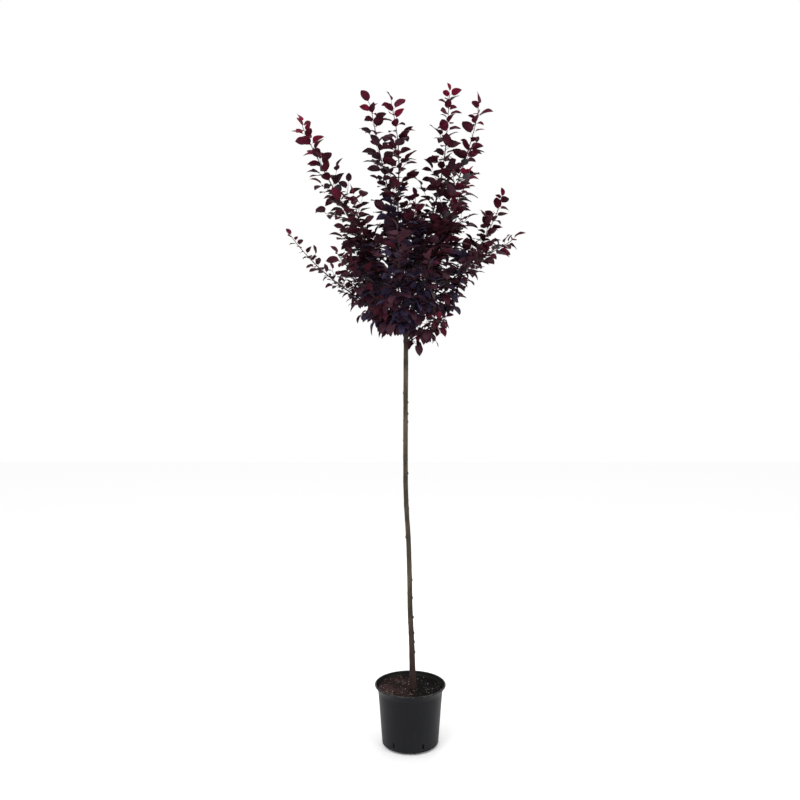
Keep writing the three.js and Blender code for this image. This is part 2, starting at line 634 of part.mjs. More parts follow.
class Mass {
  constructor(shoot) {
    this.shoot = shoot;
    this.seeded = new Seeded(shoot.seed);
    this.pieces = [];
    this.blades = [];
    const turn = radians(shoot.turn);
    this.outward = new THREE.Vector3(Math.cos(turn), Math.sin(turn), 0);
  }

  fits(points) {
    return points.every((point) => inOwnSpace(point, this.shoot) && !touchesLimb(point));
  }

  crowds(blade) {
    return this.blades.some((other) => {
      return other.some((far) => blade.some((near) => near.distanceTo(far) < LEAF_CLEARANCE));
    });
  }

  addLeaf(root, direction) {
    for (let i = 0; i < LEAF_TRIES; i++) {
      if (this.tryLeaf(root, direction)) return;
    }
  }

  tryLeaf(root, direction) {
    const { shoot, seeded } = this;
    const size = 1 + CORE_LEAF_GAIN * lowness(root.z) + LEAF_VARIATION * (seeded.next() - 0.5);
    const length = LEAF_LENGTH * shoot.leaf * size;
    const breadth = LEAF_BREADTH * seeded.between(...BREADTH_RANGE);
    const roll = radians(seeded.between(-LEAF_ROLL, LEAF_ROLL));
    const droop = droopAt(root) * seeded.between(...DROOP_RANGE);
    const heading = direction.clone().addScaledVector(UP, LEAF_LIFT - droop);
    const { corners, faces } = leafSolid(root, heading, length, breadth, roll);
    const blade = corners.slice(1, 5);
    blade.push(corners[4].clone().lerp(corners[1], 0.5));
    blade.push(corners[4].clone().lerp(corners[3], 0.5));
    if (!this.fits(blade) || this.crowds(blade)) return false;
    const flat = corners.flatMap((corner) => corner.toArray());
    this.pieces.push(solidFrom(flat, faces));
    this.blades.push(blade);
    return true;
  }

  // A side twig: it leaves at an angle, bends upwards, and bears leaves on alternate sides. It is
  // shorter where it points down.
  addTwig(root, along, turn, fullLength) {
    const angle = radians(TWIG_ANGLE + this.seeded.between(...TWIG_ANGLE_RANGE));
    const heading = branching(along, this.outward, turn, angle);
    const length = fullLength * (1 - SHORT_BELOW * clamp(-heading.z, 0, 1));
    const lift = length * (root.z > HANGING_BELOW ? TWIG_LIFT : -TWIG_SAG);
    const bend = root.clone().addScaledVector(heading, length * TWIG_BEND);
    const end = root.clone().addScaledVector(heading, length).addScaledVector(UP, lift);
    if (!this.fits([bend, end])) return;
    const base = Math.min(TWIG_RADIUS, TWIG_TIP_RADIUS + length * TWIG_TAPER);
    this.pieces.push(limb([root, bend, end], [base, base * TWIG_BEND_SHARE, TWIG_TIP_RADIUS], 3));
    const count = Math.max(1, Math.round(length / TWIG_LEAF_PITCH));
    for (let k = 0; k < count; k++) {
      const share = (k + TWIG_LEAF_PLACE) / count;
      const at = share < TWIG_BEND
        ? root.clone().lerp(bend, share / TWIG_BEND)
        : bend.clone().lerp(end, (share - TWIG_BEND) / (1 - TWIG_BEND));
      const hand = k % 2 === 0 ? Math.PI / 2 : -Math.PI / 2;
      this.addLeaf(at, branching(heading, UP, hand, radians(LEAF_ANGLE)));
    }
    this.addLeaf(end, heading);
  }

  // Adds side twigs, each a golden turn on from the last, and returns the next turn.
  addTwigs(at, first) {
    const { shoot, seeded } = this;
    const last = shoot.length * (1 - BARE_TIP_SHARE);
    let turn = shoot.firstTurn;
    let place = first;
    while (place < last) {
      const { point, along } = at(place);
      const room = (last - place) * TWIG_GROWTH * shoot.twigs + TWIG_SHORTEST;
      const length = Math.min(TWIG_LONGEST, room) * seeded.between(...TWIG_LENGTH_RANGE);
      this.addTwig(point, along, turn, length);
      turn += radians(GOLDEN_TURN);
      place += TWIG_PITCH * seeded.between(...PITCH_RANGE);
    }
    return turn;
  }

  // Adds the leaves that stand on the leading shoot itself.
  addLeaderLeaves(at, first, firstTurn) {
    const { shoot, seeded } = this;
    let turn = firstTurn;
    let place = first;
    while (place < shoot.length - LEADER_LEAF_END) {
      const { point, along } = at(place);
      const angle = radians(LEAF_ANGLE + seeded.between(...LEAF_ANGLE_RANGE));
      this.addLeaf(point, branching(along, this.outward, turn, angle));
      turn += radians(GOLDEN_TURN);
      place += LEADER_LEAF_PITCH * seeded.between(...PITCH_RANGE);
    }
    const tip = at(shoot.length);
    this.addLeaf(tip.point, tip.along);
  }

  grow(trunkCutter) {
    const { shoot } = this;
    const hangsOnTrunk = shoot.boughLength === 0;
    const start = shoot.boughLength;
    const shares = sharesOf(shoot, start, shoot.length, LEADER_STEP);
    const line = shares.map((t) => shootPoint(shoot, t));
    const radii = shares.map((t) => shootRadius(shoot, t));
    const slopes = shares.map((t) => shootSlope(shoot, t));
    line[0].addScaledVector(slopes[0], SEAT);
    this.pieces.push(limb(line, radii, LEADER_SIDES, { slopes }));
    const count = line.length - 1;
    const at = (length) => {
      const step = clamp(((length - start) / (shoot.length - start)) * count, 0, count - FINEST);
      const i = Math.floor(step);
      const along = line[i + 1].clone().sub(line[i]).normalize();
      return { point: line[i].clone().lerp(line[i + 1], step - i), along };
    };
    const first = start + (hangsOnTrunk ? SKIRT_TWIG_START : TWIG_START);
    const turn = this.addTwigs(at, first);
    this.addLeaderLeaves(at, first + LEADER_LEAF_START, turn);
    const solid = wasm.Manifold.union(this.pieces);
    return largestBody(hangsOnTrunk ? solid.subtract(trunkCutter) : solid);
  }
}

const plant = new THREE.Group();
plant.add(meshOf("pot", potSolid(), FINISH.pot));
plant.add(meshOf("soil", soilSolid(), FINISH.soil));
plant.add(meshOf("trunk", trunkSolid(), FINISH.bark));

const trunkCutter = trunkLimb(SOIL_LEVEL + SEAT, SEAT + FINEST);
for (const shoot of shoots.slice(0, SHOOTS.length)) {
  shoot.boughLine = shootLine(shoot, 0, shoot.boughLength - LIMB_MARGIN, BOUGH_LINE_STEP);
  plant.add(meshOf(`bough_${shoot.name}`, boughSolid(shoot, trunkCutter), FINISH.bough));
}
for (const shoot of shoots) {
  plant.add(meshOf(`foliage_${shoot.name}`, new Mass(shoot).grow(trunkCutter), FINISH.foliage));
}

export default plant;
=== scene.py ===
"""Dresses the potted cherry plum: pot, compost, stem, boughs, twigs and leaves, in metres."""

from __future__ import annotations

import logging
import math
from dataclasses import dataclass, field, replace
from enum import Enum
from itertools import product
from typing import Callable, ClassVar, Sequence

import bpy
import numpy as np
from mathutils import Matrix, Vector, noise


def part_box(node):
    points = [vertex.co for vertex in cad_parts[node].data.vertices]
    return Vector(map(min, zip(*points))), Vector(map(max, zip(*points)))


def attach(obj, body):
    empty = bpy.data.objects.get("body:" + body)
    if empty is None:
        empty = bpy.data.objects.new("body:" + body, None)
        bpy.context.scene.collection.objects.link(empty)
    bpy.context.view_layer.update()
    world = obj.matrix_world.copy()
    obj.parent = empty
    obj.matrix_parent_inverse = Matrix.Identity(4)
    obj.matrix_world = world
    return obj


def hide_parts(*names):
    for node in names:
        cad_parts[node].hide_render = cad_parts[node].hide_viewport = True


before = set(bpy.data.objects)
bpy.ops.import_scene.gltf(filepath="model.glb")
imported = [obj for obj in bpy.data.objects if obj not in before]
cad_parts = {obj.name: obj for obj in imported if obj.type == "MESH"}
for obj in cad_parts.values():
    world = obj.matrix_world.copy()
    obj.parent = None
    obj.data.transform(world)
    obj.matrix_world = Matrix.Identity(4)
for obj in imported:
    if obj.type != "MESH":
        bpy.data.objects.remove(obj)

LOG = logging.getLogger("cherry_plum")
BODY = "root"
UP = np.array((0.0, 0.0, 1.0))
GOLDEN_TURN = math.radians(137.5)
FULL_TURN = 2 * math.pi
TOO_NEARLY_ALONG = 0.2

Array = np.ndarray


def lerp(low: float, high: float, share: float) -> float:
    """Returns the value a share of the way from low to high."""
    return low + (high - low) * share


def clamp(value: float, low: float, high: float) -> float:
    """Returns the value kept between low and high."""
    return max(low, min(high, value))


def unit(vector: Array) -> Array:
    """Returns the vector at length one."""
    return vector / np.linalg.norm(vector)


def across(along: Array, wanted: Array) -> Array:
    """Finds a direction square to a line.

    Args:
        along: Unit direction of the line.
        wanted: The direction that the result should come nearest to.

    Returns:
        A unit vector square to the line.
    """
    for guess in (wanted, UP, np.array((1.0, 0.0, 0.0))):
        side = guess - along * float(np.dot(guess, along))
        if np.linalg.norm(side) > TOO_NEARLY_ALONG:
            break
    return unit(side)


def around(along: Array, wanted: Array, turn: float) -> Array:
    """Finds a direction square to a line, part of the way round it.

    Args:
        along: Unit direction of the line.
        wanted: The side that the turn starts from.
        turn: How far round, in radians.

    Returns:
        A unit vector square to the line.
    """
    facing = across(along, wanted)
    return facing * math.cos(turn) + np.cross(along, facing) * math.sin(turn)


def leaning(along: Array, away: Array, angle: float) -> Array:
    """Returns a direction that leans from a line towards a side, by an angle in degrees."""
    return along * math.cos(math.radians(angle)) + away * math.sin(math.radians(angle))


class Seeded:
    """A repeatable stream of numbers from 0 to 1."""

    factor = 48271
    prime = 2147483647

    def __init__(self, seed: int) -> None:
        """Starts the stream at a whole number."""
        self.state = seed
        self.next()

    def next(self) -> float:
        """Returns the next number of the stream."""
        self.state = (self.state * self.factor) % self.prime
        return self.state / self.prime

    def between(self, low: float, high: float) -> float:
        """Returns the next number, spread from low to high."""
        return lerp(low, high, self.next())

    def about(self, middle: float, spread: float) -> float:
        """Returns a number at most a spread away from the middle."""
        return middle + self.between(-spread, spread)


@dataclass
class Surface:
    """Corners and faces that are gathered for one mesh."""

    corners: list[Array] = field(default_factory=list)
    faces: list[tuple[int, ...]] = field(default_factory=list)
    count: int = 0

    def add(self, corners: Array, faces: Sequence[tuple[int, ...]]) -> None:
        """Adds a shell of its own.

        Args:
            corners: One row for each corner.
            faces: Corner numbers of each face, counted from this shell's first corner.
        """
        self.corners.append(corners)
        self.faces.extend(tuple(i + self.count for i in face) for face in faces)
        self.count += len(corners)

    def piece(self, name: str, smooth: bool = True) -> bpy.types.Object:
        """Makes the gathered shells one object at the origin.

        Args:
            name: The object's name.
            smooth: Whether its faces are shaded as one rounded surface.

        Returns:
            The new object, linked to the scene.
        """
        mesh = bpy.data.meshes.new(name)
        mesh.from_pydata(np.vstack(self.corners).tolist(), [], self.faces)
        mesh.update()
        if smooth:
            mesh.shade_smooth()
        return link(name, mesh)


def link(name: str, mesh: bpy.types.Mesh) -> bpy.types.Object:
    """Puts a mesh in the scene as an object at the origin.

    Args:
        name: The object's name.
        mesh: Its mesh.

    Returns:
        The object.
    """
    made = bpy.data.objects.new(name, mesh)
    bpy.context.scene.collection.objects.link(made)
    return made


def ring_faces(rings: int, sides: int, closed_ends: bool = True) -> list[tuple[int, ...]]:
    """Lists the faces of a tube whose rings of corners follow each other.

    Args:
        rings: How many rings the tube has.
        sides: Corners in each ring.
        closed_ends: Whether each end gets a flat cap.

    Returns:
        Corner numbers of each face, facing outwards.
    """
    faces: list[tuple[int, ...]] = []
    for i in range(rings - 1):
        for k in range(sides):
            a, b = i * sides + k, i * sides + (k + 1) % sides
            faces.append((a, b, b + sides, a + sides))
    if closed_ends:
        faces.append(tuple(reversed(range(sides))))
        faces.append(tuple((rings - 1) * sides + k for k in range(sides)))
    return faces


def level_ring(radius: float, z: float, sides: int) -> Array:
    """Lists the corners of a level ring round Z."""
    turns = np.linspace(0.0, FULL_TURN, sides, endpoint=False)
    return np.stack((radius * np.cos(turns), radius * np.sin(turns), np.full(sides, z)), axis=1)


def dress(
    piece: bpy.types.Object,
    material: bpy.types.Material,
    nodes: Sequence[str] = (),
) -> bpy.types.Object:
    """Gives a piece its finish, hangs it on the body and hides the CAD nodes that it stands for.

    Args:
        piece: The finished object.
        material: Its finish.
        nodes: CAD nodes that it replaces.

    Returns:
        The same object.
    """
    piece.data.materials.clear()
    piece.data.materials.append(material)
    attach(piece, BODY)
    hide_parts(*nodes)
    LOG.info("%s: %d faces for %d nodes", piece.name, len(piece.data.polygons), len(nodes))
    return piece


def math_method(operation: str, reflected: bool = False) -> Callable[[Wire, Wire | float], Wire]:
    """Makes an operator of Wire out of a Math node.

    Args:
        operation: The Math node's operation.
        reflected: Whether the other value comes first.

    Returns:
        The operator.
    """

    def method(self: Wire, other: Wire | float) -> Wire:
        """Adds the node on this and another value."""
        return self.operate(operation, *((other, self) if reflected else (self, other)))

    return method


class Wire:
    """A shader value that can be written in sums and products."""

    def __init__(self, shader: Shader, socket: bpy.types.NodeSocket) -> None:
        """Wraps an output socket of a material's node."""
        self.shader = shader
        self.socket = socket

    def operate(self, operation: str, *values: Wire | float) -> Wire:
        """Adds a Math node on the values."""
        return self.shader.node("ShaderNodeMath", {"operation": operation}, values)

    __add__, __radd__ = math_method("ADD"), math_method("ADD", reflected=True)
    __sub__, __rsub__ = math_method("SUBTRACT"), math_method("SUBTRACT", reflected=True)
    __mul__, __rmul__ = math_method("MULTIPLY"), math_method("MULTIPLY", reflected=True)
    __truediv__, __pow__ = math_method("DIVIDE"), math_method("POWER")

    def absolute(self) -> Wire:
        """Returns the value without its sign."""
        return self.operate("ABSOLUTE", self)

    def sine(self) -> Wire:
        """Returns the sine of the value."""
        return self.operate("SINE", self)

    def ramp(self, low: float, high: float) -> Wire:
        """Returns the value spread smoothly from 0 at low to 1 at high."""
        settings = {"interpolation_type": "SMOOTHSTEP"}
        return self.shader.node("ShaderNodeMapRange", settings, (self, low, high, 0.0, 1.0))


Color = tuple[float, float, float]


class Shader:
    """A material whose nodes are written as expressions."""

    def __init__(self, name: str) -> None:
        """Starts a material with one Principled shader.

        Args:
            name: The material's name.
        """
        self.material = bpy.data.materials.new(name)
        self.material.use_nodes = True
        self.nodes = self.material.node_tree.nodes
        self.links = self.material.node_tree.links
        self.principled = self.nodes["Principled BSDF"]
        self.place = self.coordinate("Object")

    def node(
        self,
        kind: str,
        settings: dict[str, object] | None = None,
        values: Sequence[object] | dict[str, object] = (),
        output: str | int = 0,
    ) -> Wire:
        """Adds one node.

        Args:
            kind: The node's type.
            settings: Its properties, set before its sockets.
            values: Numbers, colours or wires for its inputs, in order or by name.
            output: Which output to return.

        Returns:
            The output as a wire.
        """
        made = self.nodes.new(kind)
        for key, value in (settings or {}).items():
            setattr(made, key, value)
        pairs = values.items() if isinstance(values, dict) else enumerate(values)
        for key, value in pairs:
            if isinstance(value, Wire):
                self.links.new(value.socket, made.inputs[key])
            elif value is not None:
                made.inputs[key].default_value = value
        return Wire(self, made.outputs[output])

    def coordinate(self, name: str) -> Wire:
        """Returns one of the surface's coordinates."""
        return self.node("ShaderNodeTexCoord", output=name)

    def stretched(self, scale: Color, source: Wire | None = None) -> Wire:
        """Returns the coordinates with each axis scaled."""
        values = {"Vector": source or self.place, "Scale": scale}
        return self.node("ShaderNodeMapping", {}, values)

    def noise(self, scale: float, detail: float = 3.0, place: Wire | None = None) -> Wire:
        """Returns cloud noise from 0 to 1."""
        values = {"Vector": place or self.place, "Scale": scale, "Detail": detail}
        return self.node("ShaderNodeTexNoise", {}, values, "Fac")

    def cells(self, scale: float, place: Wire | None = None) -> Wire:
        """Returns the distance to the nearest of many scattered points."""
        values = {"Vector": place or self.place, "Scale": scale}
        return self.node("ShaderNodeTexVoronoi", {}, values, "Distance")

    def axis(self, name: str, source: Wire | None = None) -> Wire:
        """Returns one number of a coordinate."""
        return self.node("ShaderNodeSeparateXYZ", {}, (source or self.place,), name)

    def mix(self, share: Wire | float, low: Wire | Color, high: Wire | Color) -> Wire:
        """Mixes two colours.

        Args:
            share: 0 for the low colour and 1 for the high one.
            low: The first colour.
            high: The second colour.

        Returns:
            The mixed colour.
        """
        made = self.nodes.new("ShaderNodeMix")
        made.data_type = "RGBA"
        slots = {"Factor_Float": share, "A_Color": low, "B_Color": high}
        for socket in made.inputs:
            value = slots.get(socket.identifier)
            if isinstance(value, Wire):
                self.links.new(value.socket, socket)
            elif isinstance(value, tuple):
                socket.default_value = (*value, 1.0)
            elif value is not None:
                socket.default_value = value
        return Wire(self, next(o for o in made.outputs if o.identifier == "Result_Color"))

    def set(self, socket: str, value: Wire | float | Color) -> None:
        """Sets or links one socket of the Principled shader.

        Args:
            socket: Its name.
            value: What it gets.
        """
        target = self.principled.inputs[socket]
        if isinstance(value, Wire):
            self.links.new(value.socket, target)
        elif isinstance(value, tuple):
            target.default_value = (*value, 1.0)
        else:
            target.default_value = value

    def finished(
        self,
        colour: Wire,
        roughness: Wire,
        sheen: float,
        relief: Wire,
        depth: float,
        strength: float,
    ) -> bpy.types.Material:
        """Sets what every finish has.

        Args:
            colour: Its base colour.
            roughness: How matt it is.
            sheen: How strongly it mirrors the light, 0.5 on plain plastic.
            relief: Height of its surface, from 0 to about 1.
            depth: Depth of the relief, in metres.
            strength: How much of the relief shows.

        Returns:
            The material.
        """
        values = {"Height": relief, "Distance": depth, "Strength": strength}
        self.set("Normal", self.node("ShaderNodeBump", {}, values))
        self.set("Base Color", colour)
        self.set("Roughness", roughness)
        self.set("Specular IOR Level", sheen)
        return self.material


@dataclass(frozen=True)
class PotPlastic:
    """Satin black moulded plastic with dust low down, a lighter patchy band on its lip that is
    partly grime and partly a painted highlight, and near black painted shade on the inner face of
    its flare.
    """

    pot: Pot
    base: Color = (0.0046, 0.0048, 0.0066)
    worn: Color = (0.013, 0.013, 0.015)
    # Painted shade: the near black given to the inner face of the flare.
    inner: Color = (0.0010, 0.0010, 0.0012)
    # Lighter grey-brown of the lip: partly grime, partly a painted highlight.
    lip_dirt_and_highlight_colour: Color = (0.034, 0.030, 0.029)
    dust_top: float = 0.12
    roughness: float = 0.42
    sheen: float = 0.14

    def inside(self, shader: Shader) -> Wire:
        """Tells the flare's inner face from its outer face.

        Args:
            shader: The material that the nodes are added to.

        Returns:
            1 on the inner face of the flare, where the painted shade goes, and 0 elsewhere.
        """
        pot, height = self.pot, shader.axis("Z")
        share = (height - pot.neck_height) / (pot.height - 2 * pot.lip - pot.neck_height)
        middle = share**pot.flare_curve * (pot.rim - pot.lip - pot.neck) + pot.neck - pot.wall / 2
        out = (shader.axis("X") ** 2.0 + shader.axis("Y") ** 2.0) ** 0.5
        above = height.ramp(pot.neck_height, pot.neck_height + pot.lip)
        return (middle - out).ramp(0.0, pot.wall / 4) * above

    def material(self) -> bpy.types.Material:
        """Builds the finish.

        Returns:
            The material.
        """
        shader = Shader("pot_plastic")
        clouds = shader.noise(scale=9.0, detail=4.0)
        scuffs = shader.noise(55.0, 2.0, shader.stretched((1.0, 1.0, 0.12)))
        dust = (1.0 - shader.axis("Z").ramp(0.0, self.dust_top)) * clouds
        wear = dust * 0.6 + scuffs.ramp(0.58, 0.78) * 0.35
        # Painted shade: the inner face of the flare gets the near black inner colour.
        walls = shader.mix(self.inside(shader), shader.mix(wear, self.base, self.worn), self.inner)
        # Lighter patchy band along the lip: partly grime, partly a painted highlight.
        lip = shader.axis("Z").ramp(self.pot.height - 2 * self.pot.lip, self.pot.height)
        lip_dirt_and_highlight = lip * shader.noise(60.0, 3.0).ramp(0.38, 0.62)
        colour = shader.mix(lip_dirt_and_highlight, walls, self.lip_dirt_and_highlight_colour)
        roughness = self.roughness + wear * 0.22 + clouds * 0.06
        relief = shader.noise(900.0, 2.0) * 0.5 + scuffs
        return shader.finished(colour, roughness, self.sheen, relief, depth=0.0002, strength=0.3)


@dataclass(frozen=True)
class CompostFinish:
    """Moist black compost with reddish bark fines, whose brown fades out towards the right as
    painted shade.
    """

    dark: Color = (0.0036, 0.0034, 0.0034)
    brown: Color = (0.046, 0.0250, 0.0230)
    roughness: float = 0.92
    sheen: float = 0.05

    def material(self) -> bpy.types.Material:
        """Builds the finish.

        Returns:
            The material.
        """
        shader = Shader("compost")
        patches = shader.noise(scale=16.0, detail=4.0).ramp(0.42, 0.66)
        # Painted shade: the brown is kept on the left and fades out towards the right.
        unshaded_left = (shader.axis("X") * -1.0).ramp(-0.03, 0.05)
        tone = (patches * 0.75 + shader.noise(180.0, 3.0) * 0.35) * (0.15 + unshaded_left * 0.85)
        colour = shader.mix(tone, self.dark, self.brown)
        roughness = self.roughness - patches * 0.1
        relief = shader.cells(260.0) + shader.noise(420.0, 3.0) * 0.6
        return shader.finished(colour, roughness, self.sheen, relief, depth=0.0016, strength=0.8)


@dataclass(frozen=True)
class ChipFinish:
    """Bark chips or mineral grains that lie on the compost."""

    name: str
    low: Color
    high: Color
    roughness: float
    # plain is the share of the colour kept on the right, under the painted shade.
    plain: float
    sheen: float = 0.06

    def material(self) -> bpy.types.Material:
        """Builds the finish, which keeps only a plain share of its colour on the right, as painted
        shade.

        Returns:
            The material.
        """
        shader = Shader(self.name)
        # Painted shade: the colour fades towards the right, down to the plain share.
        unshaded_left = (shader.axis("X") * -1.0).ramp(-0.045, 0.03)
        tone = shader.noise(scale=70.0, detail=2.0).ramp(0.3, 0.7)
        fibre = shader.noise(900.0, 3.0, shader.stretched((1.0, 0.4, 0.4)))
        share = (tone * 0.8 + fibre * 0.2) * (self.plain + unshaded_left * (1.0 - self.plain))
        colour = shader.mix(share, self.low, self.high)
        roughness = self.roughness + fibre * 0.08
        return shader.finished(colour, roughness, self.sheen, fibre, depth=0.0004, strength=0.6)


@dataclass(frozen=True)
class StemBark:
    """The trunk's bark: dark and reddish at the foot, mottled grey-green above, with pores."""

    foot: Color = (0.026, 0.0125, 0.0105)
    grey: Color = (0.080, 0.062, 0.041)
    olive: Color = (0.017, 0.0145, 0.0092)
    pore: Color = (0.15, 0.11, 0.075)
    foot_from: float = 0.32
    foot_top: float = 0.62
    foot_waver: float = 0.34
    roughness: float = 0.7
    sheen: float = 0.2

    def material(self) -> bpy.types.Material:
        """Builds the finish.

        Returns:
            The material.
        """
        shader = Shader("stem_bark")
        blotch = shader.noise(26.0, 4.0, shader.stretched((1.0, 1.0, 0.45))).ramp(0.36, 0.66)
        streak = shader.noise(95.0, 3.0, shader.stretched((1.0, 1.0, 0.18)))
        pores = 1.0 - shader.cells(120.0, shader.stretched((0.55, 0.55, 2.1))).ramp(0.10, 0.2)
        above = shader.mix(blotch * 0.75 + streak * 0.3, self.olive, self.grey)
        height = shader.axis("Z") + (shader.noise(14.0, 3.0) - 0.5) * self.foot_waver
        whole = shader.mix(height.ramp(self.foot_from, self.foot_top), self.foot, above)
        colour = shader.mix(pores * 0.55, whole, self.pore)
        roughness = self.roughness + streak * 0.15
        relief = streak * 0.7 + pores * 0.6 + blotch * 0.3
        return shader.finished(colour, roughness, self.sheen, relief, depth=0.0006, strength=0.7)


@dataclass(frozen=True)
class YoungBark:
    """Thin bark of boughs, twigs or leaf stalks."""

    name: str
    dark: Color
    light: Color
    roughness: float
    sheen: float = 0.25

    def material(self) -> bpy.types.Material:
        """Builds the finish.

        Returns:
            The material.
        """
        shader = Shader(self.name)
        blotch = shader.noise(scale=60.0, detail=3.0).ramp(0.35, 0.7)
        streak = shader.noise(320.0, 2.0, shader.stretched((1.0, 1.0, 0.3)))
        colour = shader.mix(blotch * 0.7 + streak * 0.3, self.dark, self.light)
        roughness = self.roughness + streak * 0.12
        return shader.finished(colour, roughness, self.sheen, streak, depth=0.0002, strength=0.5)


@dataclass(frozen=True)
class LeafFinish:
    """One tone of leaf, with a midrib and side veins that follow the blade's own map."""

    name: str
    base: Color
    vein: Color
    sheen: float = 0.06
    roughness: float = 0.5
    darker: float = 0.65
    # The lighter end of the random tone is raised and greyed, partly as a painted highlight.
    lighter: float = 1.55
    painted_highlight_grey: float = 0.0024

    def material(self) -> bpy.types.Material:
        """Builds the finish.

        Returns:
            The material.
        """
        shader = Shader(self.name)
        blade = shader.coordinate("UV")
        sideways = (shader.axis("X", blade) - 0.5).absolute()
        forward = shader.axis("Y", blade)
        midrib = 1.0 - sideways.ramp(0.012, 0.035)
        slant = ((forward - sideways * 0.55) * 56.0).sine().ramp(0.72, 1.0)
        veins = slant * (1.0 - sideways.ramp(0.3, 0.46))
        mottle = shader.noise(scale=120.0, detail=3.0)
        shade = shader.noise(26.0, 1.0).ramp(0.32, 0.68) * 0.7 + mottle.ramp(0.3, 0.72) * 0.3
        # Random lighter and darker tone; its lighter, greyed end is partly a painted highlight.
        dark = tuple(channel * self.darker for channel in self.base)
        light = tuple(channel * self.lighter + self.painted_highlight_grey for channel in self.base)
        body = shader.mix(shade, dark, light)
        colour = shader.mix(midrib * 0.6 + veins * 0.16, body, self.vein)
        roughness = self.roughness + mottle * 0.12
        relief = 0.6 - midrib * 0.6 - veins * 0.4 + mottle * 0.2
        return shader.finished(colour, roughness, self.sheen, relief, depth=0.0005, strength=0.6)


class Tone(Enum):
    """The tones of leaf, from the young tips to the shaded heart, and grey leaves that are
    undersides and a painted glossy reflection.
    """

    CRIMSON = LeafFinish("leaf_crimson", (0.125, 0.0040, 0.0190), (0.21, 0.014, 0.038))
    WINE = LeafFinish("leaf_wine", (0.061, 0.0046, 0.0140), (0.10, 0.012, 0.026))
    MAROON = LeafFinish("leaf_maroon", (0.041, 0.0066, 0.0138), (0.07, 0.013, 0.024))
    PLUM = LeafFinish("leaf_plum", (0.0375, 0.0125, 0.0205), (0.060, 0.020, 0.032))
    DUSK = LeafFinish("leaf_dusk", (0.0290, 0.0200, 0.0440), (0.042, 0.029, 0.058))
    # Grey leaves: undersides, and a painted glossy reflection.
    PEWTER = LeafFinish("leaf_pewter", (0.048, 0.042, 0.046), (0.075, 0.062, 0.068), sheen=0.10)


